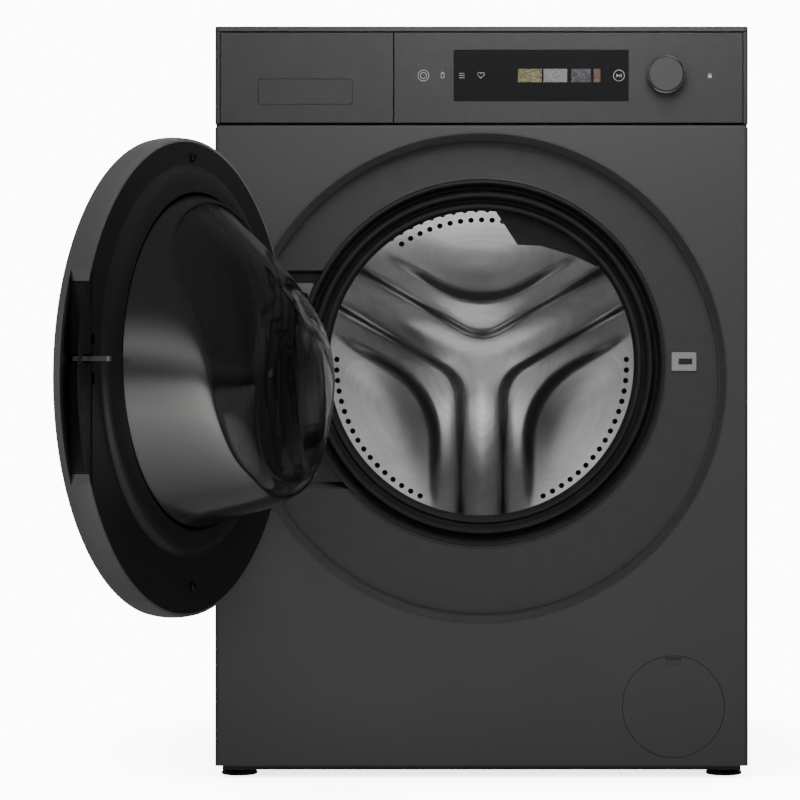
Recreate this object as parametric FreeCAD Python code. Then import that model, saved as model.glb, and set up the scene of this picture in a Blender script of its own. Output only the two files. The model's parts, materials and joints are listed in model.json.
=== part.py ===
import FreeCAD, Part
import math
import os

V = FreeCAD.Vector

# Front load washing machine, millimetres. +X is to the right as seen from the front, +Y to the back, +Z up.
# The origin is on the floor, under the centre of the cabinet.

# ---- cabinet ----
WIDTH, DEPTH, HEIGHT = 600.0, 600.0, 845.0
HALF = WIDTH / 2
FRONT, REAR = -DEPTH / 2, DEPTH / 2
SHEET = 1.2                      # painted steel of the cabinet
CORNER_R = 5.0                   # rolled vertical edges of the front
BASE_BOTTOM = 8.0                # underside of the base pan
PANEL_BOTTOM, PANEL_TOP = 13.0, 734.0
PANEL_RETURN = 16.5              # how far the front panel wraps round the sides
PANEL_LEAN = 3.0                 # slant along the front panel's top edge
FASCIA_BOTTOM, FASCIA_TOP = 736.2, 837.9
FASCIA_HALF = 294.0              # the fascia and the drawer front stand between the side panels
SPLIT_X = -99.0                  # seam between the drawer front and the fascia
SEAM = 0.8
SIDE_TOP = 838.5
COVER_BOTTOM = 839.5

# ---- door opening, drum and tub, all on one axis ----
AXIS_Z = 466.5
MOUTH_R = 173.5                  # inner lip of the gasket
FLANGE_R = 209.5                 # inner edge of the door surround
DRUM_R, DRUM_SKIN = 240.0, 1.0
DRUM_FRONT, DRUM_REAR = -213.0, 128.0
DRUM_MOUTH_R = 180.0
TUB_R, TUB_WALL, TUB_FLANGE_R = 256.0, 6.0, 270.0
TUB_FRONT, TUB_REAR = -226.0, 168.0
TUB_OUTER = TUB_R + TUB_WALL

# ---- door surround ----
SURROUND_Z = 449.5               # centre of the round recess and the door, a little below the drum axis
SURROUND_R, RECESS_R = 276.4, 267.4
PLATEAU_Y = FRONT + 18.0
SHELL = 3.0
POCKET_LEFT, POCKET_BOTTOM, POCKET_TOP = -262.5, 324.0, 571.0
POCKET_FLOOR = FRONT + 32.0
POCKET_R = RECESS_R + 9.5        # the pocket cuts the recess's edge, where the open door's corner comes

# ---- door, drawn closed and then swung open about its hinge ----
DOOR_R, DOOR_T, DOOR_ROUND = 251.0, 29.5, 4.5
DOOR_SWELL = 2.0                 # how far the rim bulges between its two faces
DOOR_IN = FRONT + 4.5            # inner face when closed
DOOR_OUT = DOOR_IN - DOOR_T
HINGE_X, HINGE_Y = -230.5, FRONT - 3.0
OPEN_ANGLE = 110.8
PIN_R, KNUCKLE_R, RUNNING = 3.0, 6.2, 0.05
KNUCKLES = ((394.0, 411.0), (481.0, 498.0))
ARM_Z = (412.5, 479.5)
NOTCH_Z = (384.0, 511.0)
COLLAR_R, BOWL_R, COLLAR_H = 201.0, 177.5, 10.0
# Rounded foot of the collar: radius beyond COLLAR_R, and height above the inner frame.
COLLAR_BEAD = ((6.0, 0.0), (4.4, 0.5), (3.0, 1.5), (1.5, 3.2), (0.0, 4.7), (-2.5, 6.1), (-7.0, 7.6),
               (-13.0, 8.9))
GLASS_T = 4.0
SLOT_Z = (340.4, 562.4)          # finger slot at the free edge of the door
STRIP = 9.6                      # thickness of the door's front in front of the slot
LATCH_X, LATCH_Z = 230.3, 468.0

# ---- fascia ----
WINDOW_X, WINDOW_Z = (-31.6, 165.5), (760.5, 818.6)
DIAL_X, DIAL_Z, DIAL_R = 207.0, 790.6, 21.75
FLAP_X, FLAP_Z = (-251.4, -145.2), (757.0, 786.0)

# Glass bowl: how far out of the inner frame, radius, and how far the circle's centre drops.
BOWL_SECTIONS = ((-6.0, 177.5, 0.0), (9.0, 177.0, 0.0), (50.0, 152.0, -4.5), (92.0, 128.0, -8.5),
                 (114.0, 104.0, -11.0), (124.0, 70.0, -12.0))

# ---- detergent dispenser ----
MOULD_WALL = 2.5
TRAY_X, TRAY_Y, TRAY_Z = (-281.0, -112.0), (FRONT + 30.0, -75.0), (752.0, 812.0)
HOUSING = (-288.0, -104.0, FRONT + 18.0, -62.0, 744.0, 830.0)
FILL_X, FILL_Y = -150.0, -85.0   # outlet of the dispenser into the tub
INLET_X, INLET_Z = (-190.0, -160.0), 822.5

# ---- connections at the back ----
TRANSIT_X, TRANSIT_Z = 120.0, (280.0, 652.0)
VALVE_X, VALVE_Z, PORT_R = (214.0, 246.0), 800.0, 13.2
DRAIN_X, DRAIN_Z, DRAIN_R = 262.0, 722.0, 11.0
GLAND_X, GLAND_Z, LEAD_R = -262.0, 740.0, 3.6
SERVICE_R = 148.0                # round hole behind the motor

# ---- pump and filter ----
PUMP_X, PUMP_Z, FLAP_R = 215.7, 79.7, 57.0
CHAMBER_R, CHAMBER_WALL = 34.0, 4.0
SUMP_X, SUMP_Y = 100.0, -185.0

FOOT_X, FOOT_Y, FOOT_R, STUD_R = 275.0, 264.0, 20.5, 5.0
SPRING_X, SPRING_Y = 200.0, (-35.0, 135.0)
DAMPER_X, DAMPER_Y = 150.0, 20.0


# ---- helpers ----
def box(x0, x1, y0, y1, z0, z1):
    return Part.makeBox(x1 - x0, y1 - y0, z1 - z0, V(x0, y0, z0))


def cyl_y(r, y0, y1, x=0.0, z=AXIS_Z):
    return Part.makeCylinder(r, y1 - y0, V(x, y0, z), V(0, 1, 0))


def cyl_z(r, z0, z1, x, y):
    return Part.makeCylinder(r, z1 - z0, V(x, y, z0), V(0, 0, 1))


def cyl_x(r, x0, x1, y, z):
    return Part.makeCylinder(r, x1 - x0, V(x0, y, z), V(1, 0, 0))


def ring_y(r_out, r_in, y0, y1, x=0.0, z=AXIS_Z):
    return cyl_y(r_out, y0, y1, x, z).cut(cyl_y(r_in, y0 - 1, y1 + 1, x, z))


def tube_z(r_out, r_in, z0, z1, x, y):
    return cyl_z(r_out, z0, z1, x, y).cut(cyl_z(r_in, z0 - 1, z1 + 1, x, y))


def fuse(shapes):
    """One solid from shapes that touch or overlap."""
    first = shapes[0]
    if len(shapes) == 1:
        return first
    return first.fuse(list(shapes[1:])).removeSplitter()


def cut(shape, tools):
    for tool in tools:
        shape = shape.cut(tool)
    return shape


def turned(points, x=0.0, z=AXIS_Z):
    """Solid of revolution about the line along Y through (x, z), from (radius, y) points."""
    ring = [V(x + r, y, z) for r, y in points]
    face = Part.Face(Part.makePolygon(ring + [ring[0]]))
    return face.revolve(V(x, 0, z), V(0, 1, 0), 360)


def rounded_plate(x0, x1, z0, z1, y0, y1, r):
    """Plate facing the front, with its four corners rounded."""
    plate = box(x0, x1, y0, y1, z0, z1)
    return plate.makeFillet(r, edges_along(plate, V(0, 1, 0)))


def edges_along(shape, direction):
    """The straight edges of a shape that run along a direction."""
    found = []
    for edge in shape.Edges:
        straight = isinstance(edge.Curve, Part.Line)
        if straight and abs(edge.tangentAt(edge.FirstParameter).dot(direction)) > 0.999:
            found.append(edge)
    return found


def edges_near(shape, direction, test):
    """Straight edges along a direction whose middle passes a test."""
    return [e for e in edges_along(shape, direction) if test(e.CenterOfMass)]


def band(points, thickness):
    """Closed outline of a strip of even thickness that follows (radius, y) points."""
    half = thickness / 2
    left, right = [], []
    for i, (r, y) in enumerate(points):
        before = points[max(i - 1, 0)]
        after = points[min(i + 1, len(points) - 1)]
        one = unit(r - before[0], y - before[1]) if i else None
        two = unit(after[0] - r, after[1] - y) if i < len(points) - 1 else None
        one, two = one or two, two or one
        nr, ny = -(one[1] + two[1]), one[0] + two[0]
        length = math.hypot(nr, ny)
        nr, ny = nr / length, ny / length
        reach = half / max(0.35, nr * -one[1] + ny * one[0])
        left.append((r + nr * reach, y + ny * reach))
        right.append((r - nr * reach, y - ny * reach))
    return left + right[::-1]


def unit(a, b):
    length = math.hypot(a, b)
    return (a / length, b / length)


def route(points, radius):
    """Wire of straight runs joined by tangent arcs."""
    edges, start = [], points[0]
    for before, corner, after in zip(points, points[1:], points[2:]):
        a = (before - corner).normalize()
        b = (after - corner).normalize()
        half = a.getAngle(b) / 2
        reach = radius / math.tan(half)
        one, two = corner + a * reach, corner + b * reach
        bisector = (a + b).normalize()
        middle = corner + bisector * (radius / math.sin(half) - radius)
        edges.append(Part.LineSegment(start, one).toShape())
        edges.append(Part.Arc(one, middle, two).toShape())
        start = two
    edges.append(Part.LineSegment(start, points[-1]).toShape())
    return Part.Wire(edges)


def hose(points, radius, r_out, r_in):
    """Hollow hose along a route."""
    path = route(points, radius)
    along = (points[1] - points[0]).normalize()
    solids = []
    for r in (r_out, r_in):
        section = Part.Wire(Part.makeCircle(r, points[0], along))
        solids.append(path.makePipeShell([section], True, False))
    return solids[0].cut(solids[1])


def opened(shape):
    """Swings a shape of the closed door to where the door stands open."""
    shape.rotate(V(HINGE_X, HINGE_Y, 0), V(0, 0, 1), -OPEN_ANGLE)
    return shape


def mirrored(shape):
    return shape.mirror(V(0, 0, 0), V(1, 0, 0))


def around(shape, count, angle=360.0, x=0.0, z=AXIS_Z, first=0.0):
    """Copies of a shape turned about a line along Y."""
    copies = []
    for i in range(count):
        copy = shape.copy()
        copy.rotate(V(x, 0, z), V(0, 1, 0), first + i * angle / count)
        copies.append(copy)
    return copies


def save(node, *shapes):
    """Writes one node. Several shapes stay separate solids."""
    solids = []
    for shape in shapes:
        solids += shape.Solids
    whole = solids[0] if len(solids) == 1 else Part.makeCompound(solids)
    whole.exportStep("parts/" + node + ".step")


# ---- cabinet shell ----
def side_panel():
    """Left side panel: a rolled front edge beside the fascia, and flanges at the front, top and back."""
    x = -HALF
    inner = x + SHEET
    upper = box(x, -FASCIA_HALF - 0.6, FRONT, REAR - 1, PANEL_TOP + 1.6, SIDE_TOP)
    upper = upper.makeFillet(CORNER_R, edges_near(upper, V(0, 0, 1), lambda c: c.x < x + 1 and c.y < 0))
    room = box(inner, -FASCIA_HALF, FRONT + SHEET, REAR, PANEL_TOP, SIDE_TOP + 1)
    inside_corner = edges_near(room, V(0, 0, 1), lambda c: c.x < inner + 1 and c.y < 0)
    room = room.makeFillet(CORNER_R - SHEET, inside_corner)
    upper = upper.cut(room)
    front_y = FRONT + PANEL_RETURN + 0.5
    lower = box(x, inner, front_y, REAR - 1, PANEL_BOTTOM, PANEL_TOP + 1.6)
    front_flange = box(x, x + 16, front_y, front_y + SHEET, PANEL_BOTTOM, PANEL_TOP + 1.6)
    rear_flange = box(x, x + 20, REAR - 1 - SHEET, REAR - 1, PANEL_BOTTOM, SIDE_TOP)
    top_flange = box(x, x + 12, FRONT + 30, REAR - 1, SIDE_TOP - SHEET, SIDE_TOP)
    return fuse([upper, lower, front_flange, rear_flange, top_flange])


def front_panel():
    """Sheet front with rolled edges, a round hole for the door surround and one for the filter flap."""
    y1 = FRONT + PANEL_RETURN
    body = box(-HALF, HALF, FRONT, y1, PANEL_BOTTOM, PANEL_TOP)
    body = body.makeFillet(CORNER_R, edges_near(body, V(0, 0, 1), lambda c: c.y < FRONT + 1))
    top = edges_near(body, V(1, 0, 0), lambda c: c.y < FRONT + 1 and c.z > PANEL_TOP - 1)
    body = body.makeChamfer(PANEL_LEAN, top)
    room = box(-HALF + SHEET, HALF - SHEET, FRONT + SHEET, y1 + 1, PANEL_BOTTOM + SHEET, PANEL_TOP - SHEET)
    room = room.makeFillet(CORNER_R - SHEET, edges_near(room, V(0, 0, 1), lambda c: c.y < FRONT + 2))
    inside_top = edges_near(room, V(1, 0, 0), lambda c: c.y < FRONT + 2 and c.z > PANEL_TOP - 2)
    room = room.makeChamfer(PANEL_LEAN, inside_top)
    hole = cyl_y(SURROUND_R + 0.2, FRONT - 1, y1 + 2, 0, SURROUND_Z)
    flap_hole = cyl_y(FLAP_R + 0.6, FRONT - 1, FRONT + 4, PUMP_X, PUMP_Z)
    return cut(body, [room, hole, flap_hole])


def rear_panel():
    """Back sheet with pressed ribs, a service hole and the holes for the connections."""
    panel = box(-HALF + 1, HALF - 1, REAR - 1, REAR, PANEL_BOTTOM, SIDE_TOP)
    for x in (-215.0, 215.0):
        outer = rounded_plate(x - 22, x + 22, 150, 690, REAR - 0.5, REAR + 2, 20)
        inner = rounded_plate(x - 20.8, x + 20.8, 151.2, 688.8, REAR - 2, REAR + 0.8, 18.8)
        panel = panel.fuse(outer).cut(inner)
    holes = [(SERVICE_R, 0.0, AXIS_Z), (DRAIN_R + 0.3, DRAIN_X, DRAIN_Z), (8.3, GLAND_X, GLAND_Z)]
    holes += [(10.3, x, z) for x in (-TRANSIT_X, TRANSIT_X) for z in TRANSIT_Z]
    holes += [(PORT_R + 1.0, x, VALVE_Z) for x in VALVE_X]
    tools = [cyl_y(r, REAR - 3, REAR + 4, x, z) for r, x, z in holes]
    return cut(panel, tools)


def rear_cover():
    """Pressed service cover behind the motor, with a raised centre and six spokes."""
    plate = turned([(0, REAR), (165, REAR), (165, REAR + 1), (146, REAR + 1), (140, REAR + 5),
                    (0, REAR + 5)])
    room = turned([(0, REAR - 1), (138.6, REAR - 1), (138.6, REAR + 1), (135, REAR + 4), (0, REAR + 4)])
    spoke = box(-6, 6, REAR + 3, REAR + 6.5, AXIS_Z + 30, AXIS_Z + 128)
    return fuse([plate.cut(room)] + around(spoke, 6))


def top_cover():
    """Worktop with rounded corners and a skirt underneath that locates it between the side panels."""
    plate = box(-HALF, HALF, FRONT, REAR, COVER_BOTTOM, HEIGHT)
    plate = plate.makeFillet(CORNER_R, edges_along(plate, V(0, 0, 1)))
    rim = [e for e in plate.Edges if e.BoundBox.ZMin > HEIGHT - 0.01]
    plate = plate.makeFillet(1.6, rim)
    room = box(-HALF + 3, HALF - 3, FRONT + 3, REAR - 3, COVER_BOTTOM - 1, HEIGHT - 1.5)
    skirt = box(-282, 282, -262, 284, 832.5, HEIGHT - 1).cut(box(-280, 280, -260, 282, 820, 850))
    return fuse([plate.cut(room), skirt])


def base_pan():
    """Moulded floor of the machine, with a wall all round and four foot bosses."""
    room = box(-289, 289, FRONT + 23, REAR - 7, 10.5, 60)
    pan = box(-292, 292, FRONT + 20, REAR - 4, BASE_BOTTOM, 44).cut(room)
    plinth = box(-292, 292, FRONT + 8, FRONT + 21, BASE_BOTTOM, PANEL_BOTTOM - 0.5)
    bosses = [cyl_z(15.5, BASE_BOTTOM, 44, x * FOOT_X, y) for x in (-1, 1) for y in (-FOOT_Y, FOOT_Y)]
    ribs = [box(-289, 289, y - 1.5, y + 1.5, 10, 30) for y in (-100.0, 100.0)]
    ribs += [box(x - 1.5, x + 1.5, FRONT + 22, REAR - 7, 10, 30) for x in (-90.0, 90.0)]
    pump_room = box(PUMP_X - 60, PUMP_X + 60, FRONT + 10, -80, 10.5, 60)
    pan = fuse([pan, plinth] + bosses + [cut(r, [pump_room]) for r in ribs])
    studs = [cyl_z(STUD_R + 0.5, 0, 60, x * FOOT_X, y) for x in (-1, 1) for y in (-FOOT_Y, FOOT_Y)]
    pump_feet = [box(PUMP_X - 20, PUMP_X + 20, -200 + s, -190 + s, 10, PUMP_Z - 38.2) for s in (-60, 0)]
    pump_dip = box(PUMP_X - 44, PUMP_X + 44, FRONT + 18, FRONT + 25, 38, 60)
    return fuse([cut(pan, studs + [pump_dip])] + pump_feet)


def cross_rails():
    """Two folded rails between the side panels, which carry the suspension springs."""
    rails = []
    for y in SPRING_Y:
        rail = box(-HALF + 2, HALF - 2, y - 15, y + 15, 790, 812)
        rails.append(rail.cut(box(-HALF, HALF, y - 13.5, y + 13.5, 791.5, 830)))
    return rails


# ---- front of the machine ----
def pocket_outline(grow, y0, y1):
    """Block behind the hinge pocket, kept inside the round recess."""
    left, low, high = POCKET_LEFT - grow, POCKET_BOTTOM - grow, POCKET_TOP + grow
    plate = rounded_plate(left, -110.0, low, high, y0, y1, 12 + grow)
    return plate.common(cyl_y(POCKET_R + grow, y0 - 1, y1 + 1, 0, SURROUND_Z))


def rounded_wire(x0, x1, z0, z1, y, r):
    """Outline of a plate facing the front, with its four corners rounded."""
    plate = rounded_plate(x0, x1, z0, z1, y, y + 1, r)
    face = min(plate.Faces, key=lambda f: f.CenterOfMass.y)
    return face.OuterWire


def pocket_room():
    """Room for the door edge behind the hinge. Its top and bottom walls slope to the floor."""
    mouth = rounded_wire(POCKET_LEFT, -110.0, POCKET_BOTTOM, POCKET_TOP, PLATEAU_Y, 12)
    floor = rounded_wire(POCKET_LEFT, -110.0, POCKET_BOTTOM + 7.6, POCKET_TOP - 3.5, POCKET_FLOOR, 12)
    sloped = Part.makeLoft([mouth, floor], True, True)
    limit = cyl_y(POCKET_R, FRONT - 6, POCKET_FLOOR + 1, 0, SURROUND_Z)
    return fuse([sloped.common(limit), pocket_outline(0, FRONT - 5, PLATEAU_Y + 0.01)])


def door_surround():
    """Dished ring between the front panel and the gasket, with the hinge pocket and the lock slot."""
    r, p, back = SURROUND_R, PLATEAU_Y, PLATEAU_Y + SHELL
    dish = turned([(r, FRONT), (r - 1.4, FRONT), (RECESS_R + 1.2, FRONT + 6.2),
                   (RECESS_R + 1.2, FRONT + 8.2),
                   (RECESS_R, FRONT + 8.2), (RECESS_R, p), (100, p), (100, back),
                   (RECESS_R + 3, back), (RECESS_R + 3, FRONT + 8), (r, FRONT + 2.5)], 0, SURROUND_Z)
    flange = turned([(FLANGE_R, p - 0.6), (FLANGE_R - 0.8, p - 1), (FLANGE_R - 1.8, p - 1),
                     (FLANGE_R - 2.5, p), (FLANGE_R - 2.5, -263), (FLANGE_R, -263)])
    opening = cyl_y(FLANGE_R - 1, FRONT - 5, -200)
    pocket = pocket_outline(2.5, p, POCKET_FLOOR + 2.5)
    cheek = pocket_outline(2.5, FRONT + 1.5, p).cut(cyl_y(RECESS_R, FRONT, p + 1, 0, SURROUND_Z))
    shell = fuse([dish, pocket, cheek]).cut(opening)
    shell = fuse([shell, flange]).cut(pocket_room())
    lock_hole = box(LATCH_X - 14, LATCH_X + 10, FRONT, -270, LATCH_Z - 9, LATCH_Z + 9)
    return shell.cut(lock_hole)


def control_fascia():
    """Right-hand fascia with the display window opening and the dial hole."""
    x0, x1 = SPLIT_X + SEAM / 2, FASCIA_HALF
    body = box(x0, x1, FRONT, FRONT + 22, FASCIA_BOTTOM, FASCIA_TOP)
    body = body.makeFillet(1.2, [e for e in body.Edges if e.BoundBox.YMax < FRONT + 0.1])
    room = box(x0 + 2.5, x1 - 2.5, FRONT + 3.5, FRONT + 30, FASCIA_BOTTOM + 2.5, FASCIA_TOP - 2.5)
    seat = rounded_plate(WINDOW_X[0], WINDOW_X[1], WINDOW_Z[0], WINDOW_Z[1], FRONT - 1, FRONT + 2.2, 1.2)
    through = box(WINDOW_X[0] + 4, WINDOW_X[1] - 4, FRONT - 1, FRONT + 5, WINDOW_Z[0] + 4, WINDOW_Z[1] - 4)
    dial_hole = cyl_y(7.0, FRONT - 1, FRONT + 6, DIAL_X, DIAL_Z)
    return cut(body, [room, seat, through, dial_hole])


def display_window():
    """Glass of the touch display, flush with the fascia, laminated to its panel."""
    gap = 0.25
    glass = rounded_plate(WINDOW_X[0] + gap, WINDOW_X[1] - gap, WINDOW_Z[0] + gap, WINDOW_Z[1] - gap,
                          FRONT - 0.1, FRONT + 2.2, 1.0)
    panel = box(WINDOW_X[0] + 6, WINDOW_X[1] - 6, FRONT + 2.2, FRONT + 6, WINDOW_Z[0] + 6, WINDOW_Z[1] - 6)
    return fuse([glass, panel])


def control_board():
    """Circuit board with its components and the bush that the dial turns in."""
    board = box(-60, 232, FRONT + 14, FRONT + 15.6, 746, 828)
    y = FRONT + 15.6
    parts = [box(-50, -20, y, y + 18.4, 755, 785), box(60, 110, y, y + 10.4, 750, 790),
             box(130, 150, y, y + 24.4, 760, 800), box(-10, 40, y, y + 12.4, 795, 820)]
    parts += [cyl_y(6, FRONT + 15.6, FRONT + 36, x, 765) for x in (165.0, 182.0)]
    bush = cyl_y(6, FRONT + 4, FRONT + 14, DIAL_X, DIAL_Z)
    bore = cyl_y(PIN_R + RUNNING, FRONT, FRONT + 20, DIAL_X, DIAL_Z)
    return fuse([board, bush] + parts).cut(bore)


def dial_knob():
    """Programme dial: a thin skirted cap on a spindle."""
    y0 = FRONT - 11.0
    cap = turned([(0, y0), (DIAL_R - 1.2, y0), (DIAL_R, y0 + 1.2),
                  (DIAL_R, FRONT - 1.2), (DIAL_R - 2, FRONT - 1.2),
                  (DIAL_R - 2, y0 + 2.5), (0, y0 + 2.5)], DIAL_X, DIAL_Z)
    spindle = cyl_y(PIN_R, y0 + 2, FRONT + 12, DIAL_X, DIAL_Z)
    return fuse([cap, spindle])


# ---- detergent drawer ----
def drawer_front():
    """Front of the detergent drawer, with a finger pocket behind the flap."""
    x0, x1 = -FASCIA_HALF, SPLIT_X - SEAM / 2
    body = box(x0, x1, FRONT, FRONT + 16, FASCIA_BOTTOM, FASCIA_TOP)
    body = body.makeFillet(1.2, [e for e in body.Edges if e.BoundBox.YMax < FRONT + 0.1])
    room = box(x0 + 2.5, x1 - 2.5, FRONT + 3.5, FRONT + 30, FASCIA_BOTTOM + 2.5, FASCIA_TOP - 2.5)
    wall = MOULD_WALL
    cup = rounded_plate(FLAP_X[0] - wall, FLAP_X[1] + wall, FLAP_Z[0] - wall, FLAP_Z[1] + wall,
                        FRONT + 3, FRONT + 30, 5)
    mouth = rounded_plate(FLAP_X[0], FLAP_X[1], FLAP_Z[0], FLAP_Z[1], FRONT - 1, FRONT + 27.5, 3.5)
    hinge_room = box(FLAP_X[0] + 1, FLAP_X[1] - 1, FRONT + 1.2, FRONT + 27.5, FLAP_Z[1] - 5, FLAP_Z[1])
    return cut(fuse([body.cut(room), cup]), [mouth, hinge_room])


def drawer_flap():
    """Push-in flap over the finger pocket, hung along its top edge."""
    gap = 0.5
    flap = rounded_plate(FLAP_X[0] + gap, FLAP_X[1] - gap, FLAP_Z[0] + gap, FLAP_Z[1] - gap,
                         FRONT, FRONT + 2.4, 3)
    pivots = box(FLAP_X[0] + 3, FLAP_X[1] - 3, FRONT + 1, FRONT + 4, FLAP_Z[1] - 4.5, FLAP_Z[1] - 1.2)
    return fuse([flap, pivots])


def drawer_tray():
    """Open tray with three compartments, fixed to the drawer front."""
    tray = box(TRAY_X[0], TRAY_X[1], TRAY_Y[0], TRAY_Y[1], TRAY_Z[0], TRAY_Z[1])
    walls = [TRAY_X[0] + 2.0, TRAY_X[0] + 54, TRAY_X[0] + 114, TRAY_X[1] - 2.0]
    rooms = []
    for left, right in zip(walls, walls[1:]):
        rooms.append(box(left + 1, right - 1, TRAY_Y[0] + MOULD_WALL, TRAY_Y[1] - MOULD_WALL,
                         TRAY_Z[0] + MOULD_WALL, TRAY_Z[1] + 5))
    return cut(tray, rooms)


def dispenser_housing():
    """Box that the tray slides in, with water channels on top, two inlets and one outlet to the tub."""
    x0, x1, y0, y1, z0, z1 = HOUSING
    body = box(*HOUSING)
    room = box(x0 + 2.5, x1 - 2.5, y0 - 1, y1 - 2.5, z0 + 2.5, z1 - 14)
    outlet = cyl_z(12, 720, z0 + 1, FILL_X, FILL_Y)
    outlet_bore = cyl_z(9, 719, z0 + 5, FILL_X, FILL_Y)
    inlets = [cyl_y(7, y1 - 1, y1 + 12, x, INLET_Z) for x in INLET_X]
    bores = [cyl_y(5, y1 - 10, y1 + 13, x, INLET_Z) for x in INLET_X]
    channels = [box(x - 5, x + 5, y0 + 20, y1 - 4, z1 - 11, z1 - 3) for x in INLET_X]
    return cut(fuse([body.cut(room), outlet] + inlets), [outlet_bore] + bores + channels)


# ---- water, power ----
def inlet_valve():
    """Twin solenoid valve: two threaded ports through the rear panel and two outlets to the hoses."""
    body = rounded_plate(VALVE_X[0] - 16, VALVE_X[1] + 16, VALVE_Z - 16, VALVE_Z + 30,
                         REAR - 34, REAR - 6, 4)
    ports = [cyl_y(PORT_R, REAR - 8, REAR + 16, x, VALVE_Z) for x in VALVE_X]
    bores = [cyl_y(8, REAR - 10, REAR + 17, x, VALVE_Z) for x in VALVE_X]
    collars = [cyl_y(16.5, REAR - 6, REAR - 1, x, VALVE_Z) for x in VALVE_X]
    outlets = [cyl_y(7, REAR - 46, REAR - 33, x, INLET_Z) for x in VALVE_X]
    outlet_bores = [cyl_y(5, REAR - 47, REAR - 30, x, INLET_Z) for x in VALVE_X]
    coils = [box(x - 12, x + 12, REAR - 54, REAR - 34, VALVE_Z - 14, VALVE_Z + 6) for x in VALVE_X]
    return cut(fuse([body] + ports + collars + outlets + coils), bores + outlet_bores)


def valve_hoses():
    """Two short hoses from the valve to the dispenser."""
    made = []
    runs = ((VALVE_X[0], INLET_X[0], 178.0, 5.0), (VALVE_X[1], INLET_X[1], 190.0, 17.0))
    for valve_x, inlet_x, back, fore in runs:
        points = [V(valve_x, REAR - 36, INLET_Z), V(valve_x, back, INLET_Z), V(inlet_x, fore, INLET_Z),
                  V(inlet_x, HOUSING[3] + 1, INLET_Z)]
        made.append(hose(points, 40.0, 9.0, 7.15))
    return made


def mains_gland():
    """Inlet of the mains lead: a flange and a tapered sleeve on the rear panel."""
    return turned([(LEAD_R, REAR - 8), (8.0, REAR - 8), (8.0, REAR), (13, REAR), (13, REAR + 3),
                   (8.0, REAR + 3),
                   (LEAD_R + 2, REAR + 15), (LEAD_R, REAR + 15)], GLAND_X, GLAND_Z)


def transit_plugs():
    """Four caps that close the transit bolt holes."""
    plugs = []
    for x in (-TRANSIT_X, TRANSIT_X):
        for z in TRANSIT_Z:
            plugs.append(turned([(0, REAR - 8), (10, REAR - 8), (10, REAR), (15, REAR), (15, REAR + 1.5),
                                 (12.5, REAR + 3), (0, REAR + 3)], x, z))
    return plugs


# ---- hinge and lock on the cabinet ----
def hinge_bracket():
    """Metal hinge plate on the pocket floor, with two knuckles and the pin."""
    top = POCKET_FLOOR
    plate = rounded_plate(-240, -188, 336.6, 557, top - 3, top, 6)
    plate = plate.cut(cyl_y(FLANGE_R + 0.5, top - 5, top + 5))
    plate = plate.cut(cyl_y(216, top - 5, top + 5, 0, SURROUND_Z))
    shapes = [plate]
    for z0, z1 in KNUCKLES:
        shapes.append(box(HINGE_X - 3, HINGE_X + 3, HINGE_Y, top - 1, z0, z1))
        shapes.append(cyl_z(KNUCKLE_R, z0, z1, HINGE_X, HINGE_Y))
    shapes.append(cyl_z(PIN_R, KNUCKLES[0][0] - 2, KNUCKLES[1][1] + 2, HINGE_X, HINGE_Y))
    return fuse(shapes)


def door_lock():
    """Door switch behind the surround, with its slotted plate on the plateau."""
    plate = rounded_plate(LATCH_X - 15.4, LATCH_X + 12.3, LATCH_Z - 10.5, LATCH_Z + 10.5,
                          PLATEAU_Y - 1.4, PLATEAU_Y, 2)
    neck = box(LATCH_X - 14, LATCH_X + 10, PLATEAU_Y - 0.5, PLATEAU_Y + SHELL, LATCH_Z - 9, LATCH_Z + 9)
    body = box(LATCH_X - 20, LATCH_X + 20, PLATEAU_Y + SHELL, -262.5, LATCH_Z - 30, LATCH_Z + 30)
    slot = box(LATCH_X - 7.7, LATCH_X + 7.7, PLATEAU_Y - 2, -264.5, LATCH_Z - 3.4, LATCH_Z + 3.4)
    return fuse([plate, neck, body]).cut(slot)


def cabinet_screws():
    """Screws of the hinge bracket, the rear panel and the service cover."""
    heads = []
    for x, z in ((-202.0, 343.0), (-226.0, 343.0), (-201.0, 542.0), (-226.0, 542.0)):
        heads.append(turned([(0, POCKET_FLOOR - 5.5), (3, POCKET_FLOOR - 5.2), (4.5, POCKET_FLOOR - 3),
                             (0, POCKET_FLOOR - 3)], x, z))
    for i in range(6):
        a = math.radians(30 + 60 * i)
        heads.append(rear_screw(156 * math.cos(a), AXIS_Z + 156 * math.sin(a), REAR + 1))
    for x in (-290.0, 290.0):
        heads += [rear_screw(x, z, REAR) for z in (40.0, 240.0, 440.0, 640.0, 820.0)]
    return heads


def rear_screw(x, z, y):
    return turned([(0, y), (4.5, y), (3.6, y + 2.2), (0, y + 2.6)], x, z)


# ---- suspension ----
def suspension_springs():
    """Outer form of the four tension springs between the rails and the tub."""
    springs = []
    for x in (-SPRING_X, SPRING_X):
        for y in SPRING_Y:
            coil = tube_z(15, 11.5, 684, 770, x, y)
            caps = [cyl_z(15, 680, 684, x, y), cyl_z(15, 770, 774, x, y)]
            hooks = [cyl_z(2, 664.5, 681, x, y), cyl_z(2, 773, 790, x, y)]
            springs.append(fuse([coil] + caps + hooks))
    return springs


def damper_cylinders():
    """Friction damper barrels standing on the base pan."""
    made = []
    for x in (-DAMPER_X, DAMPER_X):
        barrel = cyl_z(15, 30, 150, x, DAMPER_Y).cut(cyl_z(11.8, 45, 151, x, DAMPER_Y))
        made.append(fuse([barrel, box(x - 12, x + 12, DAMPER_Y - 8, DAMPER_Y + 8, 10.5, 31)]))
    return made


def damper_rods():
    """Damper pistons and rods hanging from the tub."""
    made = []
    for x in (-DAMPER_X, DAMPER_X):
        made.append(fuse([cyl_z(10.6, 62, 80, x, DAMPER_Y), cyl_z(5, 79, 236, x, DAMPER_Y)]))
    return made


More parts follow.
